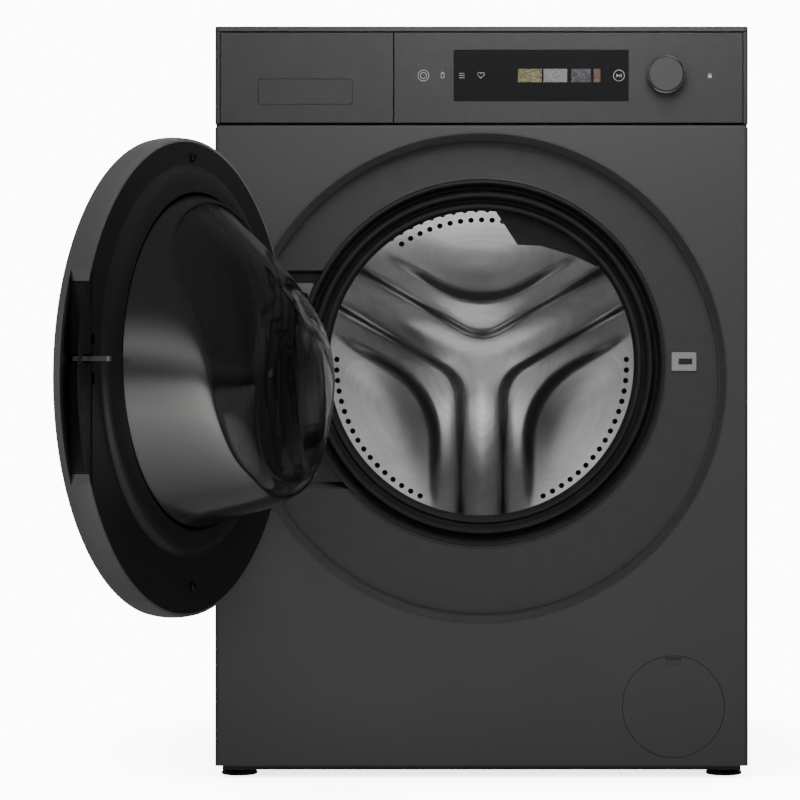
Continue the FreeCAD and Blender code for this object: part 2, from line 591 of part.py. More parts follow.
# ---- tub ----
def tub_front():
    """Front half of the outer tub: the neck for the gasket, the filling port, lugs and the sump outlet."""
    shell = turned([(188, TUB_FRONT - 16), (192, TUB_FRONT - 16), (192, TUB_FRONT), (TUB_OUTER, TUB_FRONT),
                    (TUB_OUTER, -8), (TUB_FLANGE_R, -8), (TUB_FLANGE_R, 0), (TUB_R, 0),
                    (TUB_R, TUB_FRONT + 5),
                    (188, TUB_FRONT + 5)])
    port = cyl_z(12, 655, 706, FILL_X, FILL_Y)
    lugs = [spring_lug(x, SPRING_Y[0]) for x in (-SPRING_X, SPRING_X)]
    sump = cyl_z(18, 190, 240, SUMP_X, SUMP_Y)
    inside = cyl_y(TUB_R, TUB_FRONT + 5, 1)
    added = [cut(s, [inside]) for s in [port, sump] + lugs]
    bores = [cyl_z(9, 600, 707, FILL_X, FILL_Y), cyl_z(15, 180, 260, SUMP_X, SUMP_Y)]
    return cut(fuse([shell] + added), bores)


def spring_lug(x, y):
    return box(x - 6, x + 6, y - 10, y + 10, 600, 664)


def tub_rear():
    """Rear half of the outer tub, with the bearing hub, spring lugs, damper lugs and stiffening ribs."""
    shell = turned([(TUB_R, 0), (TUB_FLANGE_R, 0), (TUB_FLANGE_R, 8), (TUB_OUTER, 8), (TUB_OUTER, TUB_REAR),
                    (31, TUB_REAR), (31, TUB_REAR - 6), (TUB_R, TUB_REAR - 6)])
    hub = ring_y(44, 31, TUB_REAR - 10, TUB_REAR + 36)
    rib = box(-2, 2, TUB_REAR - 1, TUB_REAR + 12, AXIS_Z + 140, AXIS_Z + TUB_OUTER - 4)
    lugs = [spring_lug(x, SPRING_Y[1]) for x in (-SPRING_X, SPRING_X)]
    lugs += [box(x - 12, x + 12, DAMPER_Y - 10, DAMPER_Y + 10, 236, 290) for x in (-DAMPER_X, DAMPER_X)]
    inside = cyl_y(TUB_R, -1, TUB_REAR - 6)
    return fuse([shell, hub] + around(rib, 12) + [cut(lug, [inside]) for lug in lugs])


def counterweight_front():
    """Concrete ring segment on the front of the tub, open at the bottom."""
    ring = ring_y(TUB_OUTER - 1, 214, TUB_FRONT - 29, TUB_FRONT)
    return ring.cut(box(-70, 70, -300, -200, 0, AXIS_Z))


def counterweight_top():
    """Concrete block saddled on top of the tub."""
    block = box(-90, 180, 10, 152, AXIS_Z + 150, 776)
    block = block.makeFillet(8, edges_along(block, V(0, 0, 1)))
    return block.cut(cyl_y(TUB_OUTER + 0.2, 0, 160))


def stator():
    """Stator of the direct-drive motor: an iron ring with wound teeth, bolted to the back of the tub."""
    ring = ring_y(88, 60, TUB_REAR + 20, TUB_REAR + 44)
    spacer = ring_y(74, 60, TUB_REAR, TUB_REAR + 20)
    tooth = box(-5, 5, TUB_REAR + 22, TUB_REAR + 42, AXIS_Z + 86, AXIS_Z + 122)
    shoe = box(-8, 8, TUB_REAR + 20, TUB_REAR + 44, AXIS_Z + 121, AXIS_Z + 127)
    return fuse([ring, spacer] + around(fuse([tooth, shoe]), 24))


def shaft_bearings():
    """Two ball bearings in the tub hub, drawn as plain rings."""
    bore = 15 + RUNNING
    return [ring_y(31, bore, TUB_REAR - 8, TUB_REAR + 7), ring_y(31, bore, TUB_REAR + 19, TUB_REAR + 34)]


def heater():
    """Tubular heating element in the gap under the drum."""
    r = (TUB_R + DRUM_R + DRUM_SKIN) / 2
    z = AXIS_Z - r
    rods = [cyl_y(3.2, -190, TUB_REAR - 6, x, z + 0.6) for x in (-22.0, 22.0)]
    return fuse(rods + [cyl_x(3.2, -22, 22, -190, z + 0.6)])


def spray_nozzle():
    """Water deflector that hangs into the mouth at the upper right, footed in the tub's neck."""
    tips = [(17.3, 639.5), (41.5, 602.6), (68.0, 601.5), (106.0, 590.0), (132.5, 577.3)]
    grow = 1.045
    outer = [(x * grow, AXIS_Z + (z - AXIS_Z) * grow) for x, z in (tips[-1], (77.0, 622.0), tips[0])]
    ring = [V(x, -227.5, z) for x, z in tips + outer]
    fin = Part.Face(Part.makePolygon(ring + [ring[0]])).extrude(V(0, 11, 0))
    reach = box(18, 138, -227.5, -222.5, 560, 660)
    return fuse([fin, ring_y(187.8, 176, -227.5, -222.5).common(reach)])


# ---- drum ----
def drum_shell():
    """Drum wall with its front ring and rolled mouth."""
    r = DRUM_R + DRUM_SKIN
    return turned([(DRUM_MOUTH_R, DRUM_FRONT + 9), (DRUM_MOUTH_R, DRUM_FRONT - 1),
                   (r, DRUM_FRONT - 1), (r, DRUM_REAR),
                   (DRUM_R, DRUM_REAR), (DRUM_R, DRUM_FRONT), (DRUM_MOUTH_R + 1.2, DRUM_FRONT),
                   (DRUM_MOUTH_R + 1.2, DRUM_FRONT + 9)])


def star(inset, y0, y1):
    """Three-armed pressing of the drum back, with a step half way."""
    shapes = []
    for half, low in ((31.0, 0.0), (54.0, 13.0)):
        arm = box(-half + inset, half - inset, y0 + low, y1, AXIS_Z, AXIS_Z + DRUM_R - 14 - inset)
        shapes += around(arm, 3, first=180.0)
        shapes.append(cyl_y(half + 12 - inset, y0 + low, y1))
    return fuse(shapes)


def drum_back():
    """Drum back: a dished plate with the three-armed star pressed towards the front."""
    outside = fuse([cyl_y(DRUM_R, DRUM_REAR - 1, DRUM_REAR), star(0, DRUM_REAR - 26, DRUM_REAR)])
    return outside.cut(star(1.2, DRUM_REAR - 24.8, DRUM_REAR + 5))


def drum_lifters():
    """Three hollow paddles inside the drum, between the arms of the star."""
    made = []
    for grow, floor in ((0.0, DRUM_R), (-2.5, DRUM_R - 2.5)):
        section = [(-24 - grow, floor), (-9 - grow, DRUM_R - 38 - grow), (9 + grow, DRUM_R - 38 - grow),
                   (24 + grow, floor)]
        ring = [V(x, -180 - grow, AXIS_Z + z) for x, z in section]
        made.append(Part.Face(Part.makePolygon(ring + [ring[0]])).extrude(V(0, 270 + 2 * grow, 0)))
    paddle = made[0].common(cyl_y(DRUM_R - 0.1, -200, 120)).cut(made[1])
    return around(paddle, 3)


def drum_spider():
    """Cast three-armed spider between the drum back and the shaft."""
    arm = box(-18, 18, DRUM_REAR, DRUM_REAR + 22, AXIS_Z, AXIS_Z + DRUM_R - 4)
    taper = box(-30, 30, DRUM_REAR + 12, DRUM_REAR + 40, AXIS_Z + 160, AXIS_Z + 260)
    arms = [a.cut(t) for a, t in zip(around(arm, 3, first=180.0), around(taper, 3, first=180.0))]
    hub = cyl_y(40, DRUM_REAR, DRUM_REAR + 27)
    return fuse([hub] + arms).cut(cyl_y(17.5, DRUM_REAR - 1, DRUM_REAR + 30))


def drum_shaft():
    """Stepped shaft from the spider through both bearings to the rotor, with its nut."""
    return turned([(0, DRUM_REAR), (17.5, DRUM_REAR), (17.5, TUB_REAR - 9), (15, TUB_REAR - 9),
                   (15, TUB_REAR + 35), (11, TUB_REAR + 35), (11, TUB_REAR + 66), (0, TUB_REAR + 66)])


def motor_rotor():
    """Rotor cup with its magnet ring, outside the stator."""
    y = TUB_REAR + 54
    disc = ring_y(143, 11, y - 4, y)
    hub = ring_y(24, 11, y - 16, y + 6)
    skirt = ring_y(143, 139, TUB_REAR + 14, y)
    magnets = ring_y(139.5, 130, TUB_REAR + 18, TUB_REAR + 46)
    windows = around(cyl_y(14, y - 10, y + 5, 0, AXIS_Z + 90), 8)
    return cut(fuse([disc, hub, skirt, magnets]), windows)


# ---- gasket and hoses, which bend with the tub ----
def door_gasket():
    """Rubber bellows between the door surround and the tub's neck, with its sealing lip at the mouth."""
    line = [(204.5, -281), (202.5, -268), (190, -259), (MOUTH_R + 2.5, -250.5), (185, -241), (185.6, -228)]
    return turned(band(line, 4.0))


def fill_hose():
    """Short hose from the dispenser down to the tub."""
    return tube_z(15.5, 12.2, 694, 738, FILL_X, FILL_Y)


def sump_hose():
    """Wide hose from the bottom of the tub to the pump."""
    points = [V(SUMP_X, SUMP_Y, 214), V(SUMP_X, SUMP_Y, PUMP_Z), V(PUMP_X - CHAMBER_R - 8, SUMP_Y, PUMP_Z)]
    return hose(points, 45.0, 21.0, 18.2)


def drain_hose():
    """Hose from the pump up the right-hand side to the spigot in the rear panel."""
    x = DRAIN_X
    points = [V(x, -128, PUMP_Z), V(x, 250, PUMP_Z), V(x, 250, DRAIN_Z), V(x, REAR - 4, DRAIN_Z)]
    inside = hose(points, 30.0, DRAIN_R, 9.0)
    spigot = ring_y(DRAIN_R, 8, REAR - 5, REAR + 18, x, DRAIN_Z)
    return fuse([inside, spigot, ring_y(16, 8, REAR, REAR + 3, x, DRAIN_Z)])


# ---- pump ----
def drain_pump():
    """Filter chamber, volute and motor of the drain pump."""
    r = CHAMBER_R + CHAMBER_WALL
    chamber = cyl_y(r, -284, -170, PUMP_X, PUMP_Z)
    volute = cyl_y(30, -171, -146, PUMP_X, PUMP_Z)
    motor = cyl_y(27, -147, -92, PUMP_X, PUMP_Z)
    inlet = cyl_x(18, PUMP_X - r - 20, PUMP_X - r + 2, SUMP_Y, PUMP_Z)
    elbow = cyl_x(9, PUMP_X + 20, DRAIN_X + 8.8, -158, PUMP_Z)
    outlet = cyl_y(8.8, -158, -122, DRAIN_X, PUMP_Z)
    rooms = [cyl_y(CHAMBER_R, -285, -174, PUMP_X, PUMP_Z), cyl_y(24, -175, -150, PUMP_X, PUMP_Z),
             cyl_x(15, PUMP_X - r - 21, PUMP_X - 20, SUMP_Y, PUMP_Z),
             cyl_x(6.5, PUMP_X + 18, DRAIN_X, -158, PUMP_Z),
             cyl_y(6.5, -158, -121, DRAIN_X, PUMP_Z), cyl_y(PIN_R + RUNNING, -151, -130, PUMP_X, PUMP_Z)]
    return cut(fuse([chamber, volute, motor, inlet, elbow, outlet]), rooms)


def pump_impeller():
    """Four-bladed impeller on its spindle."""
    blade = box(-1.5, 1.5, -170, -158, PUMP_Z, PUMP_Z + 20)
    disc = cyl_y(20, -159, -156, PUMP_X, PUMP_Z)
    spindle = cyl_y(PIN_R, -157, -132, PUMP_X, PUMP_Z)
    blade.translate(V(PUMP_X, 0, 0))
    return fuse([disc, spindle] + around(blade, 4, x=PUMP_X, z=PUMP_Z))


def filter_cap():
    """Screw-in filter with a grip bar, in the mouth of the pump."""
    flange = cyl_y(42, -288, -284.5, PUMP_X, PUMP_Z)
    plug = cyl_y(CHAMBER_R - 0.4, -285, -262, PUMP_X, PUMP_Z)
    grip = rounded_plate(PUMP_X - 34, PUMP_X + 34, PUMP_Z - 5, PUMP_Z + 5, -295, -287, 4)
    basket = ring_y(26, 23.5, -263, -205, PUMP_X, PUMP_Z)
    end = cyl_y(26, -207, -204, PUMP_X, PUMP_Z)
    return fuse([flange, plug, grip, basket, end])


def filter_cover():
    """Round flap in the front panel, with a thumb groove at its top. It folds out about its bottom edge."""
    disc = cyl_y(FLAP_R, FRONT, FRONT + 2.5, PUMP_X, PUMP_Z)
    grip = cyl_x(9, PUMP_X - 9, PUMP_X + 9, FRONT - 7.6, PUMP_Z + FLAP_R - 6)
    return disc.cut(grip)


def foot(x, y):
    """Levelling foot: a tapered rubber pad, a collar and a stud."""
    pad = Part.makeCone(FOOT_R, FOOT_R - 1.5, 5.0, V(x, y, 0), V(0, 0, 1))
    collar = cyl_z(12, 4.9, 7.6, x, y)
    stud = cyl_z(STUD_R, 7, 52, x, y)
    return fuse([pad, collar, stud])


# ---- door, drawn closed ----
def door_turned(points):
    """Revolved about the door's own axis. y is measured from the inner face, towards the drum."""
    return turned([(r, DOOR_IN + y) for r, y in points], 0, SURROUND_Z)


def hinge_notch():
    return box(HINGE_X - 26, HINGE_X + 13, HINGE_Y - 13.5, DOOR_IN + 20, NOTCH_Z[0], NOTCH_Z[1])


def finger_room():
    """Slot in the door's free edge, where the fingers go."""
    return box(229, 256, DOOR_OUT + STRIP, DOOR_IN + 1, SLOT_Z[0], SLOT_Z[1])


def door_rim():
    """Outer ring of the door: bulging side wall, front face, ledge for the outer pane, finger slot."""
    t, r = DOOR_T, DOOR_R
    k = DOOR_ROUND
    middle, steps = t / 2, 9
    side = []
    for i in range(steps):
        w = 0.6 + (t - k - 0.6) * i / steps
        side.append((r + DOOR_SWELL * (1 - ((w - middle) / middle) ** 2), -w))
    front_r = r + DOOR_SWELL * (1 - ((t - k - middle) / middle) ** 2)
    arc = []
    for a in range(0, 91, 15):
        turn = math.radians(a)
        arc.append((front_r - k + k * math.cos(turn), -t + k - k * math.sin(turn)))
    ring = door_turned([(r - 3, 0), (r - 0.6, 0)] + side + arc +
                       [(213, -t), (213, -t + 5), (205, -t + 5), (205, -t + 8), (216, -t + 8),
                        (216, -t + 3.5), (r - 3, -t + 3.5)])
    lip = ring_y(r - 2.5, 226, DOOR_OUT + 3, DOOR_OUT + STRIP, 0, SURROUND_Z)
    lip = lip.common(box(200, 260, DOOR_OUT, DOOR_IN, SLOT_Z[0] - 3, SLOT_Z[1] + 3))
    return cut(fuse([ring, lip]), [hinge_notch(), finger_room()])


def door_cover():
    """Smoked outer pane, very slightly domed."""
    t = DOOR_T
    return door_turned([(0, -t + 0.2), (150, -t + 0.5), (205, -t + 1.2), (212.5, -t + 2.0), (212.5, -t + 5),
                        (0, -t + 4.2)])


def door_inner_ring():
    """Black inner frame of the door, with the raised collar that clamps the bowl."""
    plate = door_turned([(150, -3), (DOOR_R - 3.5, -3), (DOOR_R - 3.5, 0), (150, 0)])
    plate = plate.cut(cyl_y(COLLAR_R - 1, DOOR_IN - 10, DOOR_IN + 10))
    inner = BOWL_R + 0.5
    bead = [(COLLAR_R + dr, DOOR_IN + up) for dr, up in COLLAR_BEAD]
    collar = turned(bead + [(inner + 2, DOOR_IN + COLLAR_H), (inner, DOOR_IN + COLLAR_H),
                            (inner, DOOR_IN + COLLAR_H - 3), (COLLAR_R - 2, DOOR_IN - 3),
                            (COLLAR_R + COLLAR_BEAD[0][0], DOOR_IN - 3)])
    skirt = turned([(COLLAR_R - 2, DOOR_IN - 2), (COLLAR_R, DOOR_IN - 2), (COLLAR_R, DOOR_IN - 14),
                    (COLLAR_R - 2, DOOR_IN - 14)])
    wall = box(226.5, 229, DOOR_OUT + STRIP, DOOR_IN - 1, SLOT_Z[0], SLOT_Z[1])
    wall = wall.common(cyl_y(DOOR_R - 4, -400, 0, 0, SURROUND_Z))
    latch_room = box(LATCH_X - 9, LATCH_X + 9, DOOR_IN - 20, DOOR_IN + 5, LATCH_Z - 4.5, LATCH_Z + 4.5)
    grip = box(222, 256, DOOR_IN - 1.2, DOOR_IN + 1, SLOT_Z[0], SLOT_Z[1])
    holes = []
    for z in (LATCH_Z - 19.5, LATCH_Z + 19.5):
        holes.append(box(217, 222.6, DOOR_IN - 5, DOOR_IN + 1, z - 5.5, z + 5.5))
    frame = cut(fuse([plate, collar, skirt]), [hinge_notch(), grip])
    return cut(fuse([frame, wall]), [latch_room] + holes)


def bowl_solid(inset):
    """The glass bowl's form between its base circle and its domed end."""
    wires = []
    for out, r, drop in BOWL_SECTIONS:
        y = DOOR_IN + out - (inset if out > 0 else 0)
        circle = Part.makeCircle(r - inset, V(0, y, AXIS_Z + drop), V(0, 1, 0))
        wires.append(Part.Wire(circle))
    return Part.makeLoft(wires, True, True)


def door_glass():
    """Moulded glass bowl that reaches into the drum mouth, with its clamping flange."""
    flange = ring_y(COLLAR_R - 8, BOWL_R - 1, DOOR_IN - 6, DOOR_IN - 2)
    return fuse([bowl_solid(0), flange]).cut(bowl_solid(GLASS_T))


def door_screws():
    """Capped screws in the inner frame, top and bottom."""
    heads = []
    for z in (682.2, 229.9):
        heads.append(turned([(0, DOOR_IN + 2.4), (2.0, DOOR_IN + 2.4), (2.0, DOOR_IN + 4.0),
                             (3.8, DOOR_IN + 4.0), (5.0, DOOR_IN + 2.6), (5.0, DOOR_IN), (0, DOOR_IN)],
                            0.0, z))
    return heads


def hinge_arm():
    """Moving leaf of the hinge: a knuckle between the bracket's two, and a leaf inside the door."""
    knuckle = cyl_z(KNUCKLE_R, ARM_Z[0], ARM_Z[1], HINGE_X, HINGE_Y)
    leaf = box(HINGE_X, HINGE_X + 24, HINGE_Y - 1.5, HINGE_Y + 1.5, ARM_Z[0], ARM_Z[1])
    bore = cyl_z(PIN_R + RUNNING, ARM_Z[0] - 1, ARM_Z[1] + 1, HINGE_X, HINGE_Y)
    return fuse([knuckle, leaf]).cut(bore)


def latch_hook():
    """Sprung tongue that catches in the lock, on its own pin inside the door."""
    tongue = box(LATCH_X - 5, LATCH_X + 3, DOOR_IN - 16, DOOR_IN + 21, LATCH_Z - 2.4, LATCH_Z + 2.4)
    nose = cyl_z(4.0, LATCH_Z - 2.4, LATCH_Z + 2.4, LATCH_X - 1, DOOR_IN + 21)
    return fuse([tongue, nose])


def build():
    left = side_panel()
    save("side_panel_left", left)
    save("side_panel_right", mirrored(left))
    save("front_panel", front_panel())
    save("rear_panel", rear_panel())
    save("rear_cover", rear_cover())
    save("top_cover", top_cover())
    save("base_pan", base_pan())
    save("cross_rails", *cross_rails())
    save("door_surround", door_surround())
    save("control_fascia", control_fascia())
    save("display_window", display_window())
    save("control_board", control_board())
    save("dial_knob", dial_knob())
    save("drawer_front", drawer_front())
    save("drawer_flap", drawer_flap())
    save("drawer_tray", drawer_tray())
    save("dispenser_housing", dispenser_housing())
    save("inlet_valve", inlet_valve())
    save("valve_hoses", *valve_hoses())
    save("mains_gland", mains_gland())
    save("transit_plugs", *transit_plugs())
    save("hinge_bracket", hinge_bracket())
    save("door_lock", door_lock())
    save("cabinet_screws", *cabinet_screws())
    save("suspension_springs", *suspension_springs())
    save("damper_cylinders", *damper_cylinders())
    save("damper_rods", *damper_rods())
    save("tub_front", tub_front())
    save("tub_rear", tub_rear())
    save("counterweight_front", counterweight_front())
    save("counterweight_top", counterweight_top())
    save("stator", stator())
    save("shaft_bearings", *shaft_bearings())
    save("heater", heater())
    save("spray_nozzle", spray_nozzle())
    save("door_gasket", door_gasket())
    save("fill_hose", fill_hose())
    save("sump_hose", sump_hose())
    save("drain_hose", drain_hose())
    save("drum_shell", drum_shell())
    save("drum_back", drum_back())
    save("drum_lifters", *drum_lifters())
    save("drum_spider", drum_spider())
    save("drum_shaft", drum_shaft())
    save("motor_rotor", motor_rotor())
    save("drain_pump", drain_pump())
    save("pump_impeller", pump_impeller())
    save("filter_cap", filter_cap())
    save("filter_cover", filter_cover())
    corners = {"front_left": (-1, -1), "front_right": (1, -1), "rear_left": (-1, 1), "rear_right": (1, 1)}
    for name, (x, y) in corners.items():
        save("foot_" + name, foot(x * FOOT_X, y * FOOT_Y))
    for make in (door_rim, door_cover, door_inner_ring, door_glass, hinge_arm, latch_hook):
        save(make.__name__, opened(make()))
    save("door_screws", *[opened(head) for head in door_screws()])


os.makedirs("parts", exist_ok=True)
build()
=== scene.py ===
import json
from math import asin, cos, degrees, hypot, pi, radians, remainder, sin, sqrt

import bmesh
import bpy
from mathutils import Matrix, Vector

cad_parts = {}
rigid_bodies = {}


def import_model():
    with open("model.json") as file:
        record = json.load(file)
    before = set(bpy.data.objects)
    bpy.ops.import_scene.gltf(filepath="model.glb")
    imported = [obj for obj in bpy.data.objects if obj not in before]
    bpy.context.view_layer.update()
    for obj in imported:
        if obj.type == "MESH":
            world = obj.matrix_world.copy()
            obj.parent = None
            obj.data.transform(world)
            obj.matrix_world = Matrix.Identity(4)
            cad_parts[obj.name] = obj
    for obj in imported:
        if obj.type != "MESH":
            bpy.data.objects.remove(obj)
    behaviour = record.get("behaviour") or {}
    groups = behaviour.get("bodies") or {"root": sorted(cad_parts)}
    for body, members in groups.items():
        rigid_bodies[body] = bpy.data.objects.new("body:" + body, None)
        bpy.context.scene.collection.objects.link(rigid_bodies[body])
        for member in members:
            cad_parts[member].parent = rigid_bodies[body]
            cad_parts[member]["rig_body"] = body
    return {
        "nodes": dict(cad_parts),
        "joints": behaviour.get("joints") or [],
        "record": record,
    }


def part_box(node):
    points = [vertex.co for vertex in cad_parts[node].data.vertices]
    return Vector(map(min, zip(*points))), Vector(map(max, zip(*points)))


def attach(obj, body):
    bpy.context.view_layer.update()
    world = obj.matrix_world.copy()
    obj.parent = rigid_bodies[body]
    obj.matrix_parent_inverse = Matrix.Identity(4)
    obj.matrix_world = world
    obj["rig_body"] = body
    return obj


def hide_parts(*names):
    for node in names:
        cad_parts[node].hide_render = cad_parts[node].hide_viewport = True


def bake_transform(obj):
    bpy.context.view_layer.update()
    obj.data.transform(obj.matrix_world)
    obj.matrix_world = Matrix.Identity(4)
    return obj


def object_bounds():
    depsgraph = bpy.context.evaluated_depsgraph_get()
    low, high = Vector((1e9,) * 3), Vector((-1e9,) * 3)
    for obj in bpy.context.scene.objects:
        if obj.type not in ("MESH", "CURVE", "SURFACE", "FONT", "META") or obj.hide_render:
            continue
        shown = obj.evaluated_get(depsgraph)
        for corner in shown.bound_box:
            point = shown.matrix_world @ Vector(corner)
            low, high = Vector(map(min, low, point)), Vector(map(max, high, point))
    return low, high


# Front load washing machine. Metres, +Z up, the front faces -Y. MM turns millimetres into metres.
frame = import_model()
cad_low, cad_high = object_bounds()

MM = 0.001
NODES = frame["nodes"]
JOINTS = {joint["name"]: joint for joint in frame["joints"]}
SLOTS = {part["node"]: part["material_slot"] for part in frame["record"]["subparts"]}

AXIS_Z = JOINTS["drum_spin"]["pos_m"][2]
HINGE = Vector(JOINTS["door_swing"]["pos_m"])
OPEN_ANGLE = radians(JOINTS["door_swing"]["range_deg"][1])
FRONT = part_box("front_panel")[0].y
TUB, CABINET = "tub", "cabinet"


# ---- mesh helpers ----
def mesh_object(name, verts, faces, sharp=None):
    """A mesh object, smooth shaded. sharp is the angle in degrees above which an edge stays crisp."""
    mesh = bpy.data.meshes.new(name)
    mesh.from_pydata([tuple(v) for v in verts], [], faces)
    mesh.validate()
    bm = bmesh.new()
    bm.from_mesh(mesh)
    return finished(name, mesh, bm, sharp)


def from_bmesh(name, bm, sharp=None):
    """The same from a bmesh, which is used up."""
    return finished(name, bpy.data.meshes.new(name), bm, sharp)


def finished(name, mesh, bm, sharp):
    bmesh.ops.recalc_face_normals(bm, faces=bm.faces)
    bm.to_mesh(mesh)
    bm.free()
    mesh.shade_smooth()
    if sharp is not None:
        mesh.set_sharp_from_angle(angle=radians(sharp))
    obj = bpy.data.objects.new(name, mesh)
    bpy.context.scene.collection.objects.link(obj)
    return obj


def smooth_line(points, steps):
    """Catmull-Rom curve through (u, v) points."""
    line = []
    for i in range(len(points) - 1):
        before = points[max(i - 1, 0)]
        after = points[min(i + 2, len(points) - 1)]
        for s in range(steps):
            line.append(catmull(before, points[i], points[i + 1], after, s / steps))
    line.append(points[-1])
    return line


def catmull(a, b, c, d, t):
    made = []
    for p, q, r, s in zip(a, b, c, d):
        made.append(0.5 * (2 * q + (r - p) * t + (2 * p - 5 * q + 4 * r - s) * t * t
                           + (3 * q - p - 3 * r + s) * t * t * t))
    return tuple(made)


def turned_faces(turns, count, closed=False):
    """Faces of a turned form, its points listed column by column with count points in each."""
    faces = []
    for i in range(turns):
        j = (i + 1) % turns
        for k in range(count if closed else count - 1):
            m = (k + 1) % count
            faces.append((i * count + k, j * count + k, j * count + m, i * count + m))
    return faces


def tube_faces(rows, sides):
    """Faces of a tube, its points listed row by row with sides points in each."""
    faces = []
    for i in range(rows):
        for k in range(sides):
            m = (k + 1) % sides
            faces.append((i * sides + k, i * sides + m, (i + 1) * sides + m, (i + 1) * sides + k))
    return faces


def revolved(name, profile, x, z, turns, closed=True, sharp=None):
    """Turned form about a line along Y through (x, z). profile holds (radius, y) points in metres."""
    verts = []
    for i in range(turns):
        a = 2 * pi * i / turns
        verts += [(x + r * cos(a), y, z + r * sin(a)) for r, y in profile]
    return mesh_object(name, verts, turned_faces(turns, len(profile), closed), sharp)


def thick_profile(line, thickness):
    """Closed outline of even thickness about a (radius, y) line."""
    left, right = [], []
    for i, (r, y) in enumerate(line):
        before, after = line[max(i - 1, 0)], line[min(i + 1, len(line) - 1)]
        dr, dy = after[0] - before[0], after[1] - before[1]
        length = hypot(dr, dy)
        left.append((r - dy / length * thickness / 2, y + dr / length * thickness / 2))
        right.append((r + dy / length * thickness / 2, y - dr / length * thickness / 2))
    return left + right[::-1]


def sweep(name, centres, radius, sides=16, rib=0.0, ribs=0):
    """Round tube along points, closed at its ends, and corrugated when ribs are given."""
    verts = []
    side = Vector((0.31, 0.95, 0.05))    # any direction that isn't along the tube
    last = len(centres) - 1
    for i, c in enumerate(centres):
        along = (centres[min(i + 1, last)] - centres[max(i - 1, 0)]).normalized()
        side = (side - along * side.dot(along)).normalized()
        other = along.cross(side)
        r = radius + rib * cos(2 * pi * ribs * i / last)
        for k in range(sides):
            a = 2 * pi * k / sides
            verts.append(c + side * r * cos(a) + other * r * sin(a))
    faces = tube_faces(last, sides)
    faces.append(tuple(range(sides))[::-1])
    faces.append(tuple(last * sides + k for k in range(sides)))
    return mesh_object(name, verts, faces)


def bevel(obj, width, segments=2, angle=30.0):
    """Rounds the crisp edges, so that they catch the light."""
    mod = obj.modifiers.new("edge", "BEVEL")
    mod.width = width
    mod.segments = segments
    mod.limit_method = "ANGLE"
    mod.angle_limit = radians(angle)
    mod.harden_normals = True


def door_swung(point):
    """Where a point of the closed door is while the door stands open."""
    turn = Matrix.Rotation(-OPEN_ANGLE, 3, "Z")
    return HINGE + turn @ (Vector(point) - HINGE)


def smoothstep(low, high, value):
    t = min(1.0, max(0.0, (value - low) / (high - low)))
    return t * t * (3 - 2 * t)


def centre_of(node):
    low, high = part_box(node)
    return (low + high) / 2


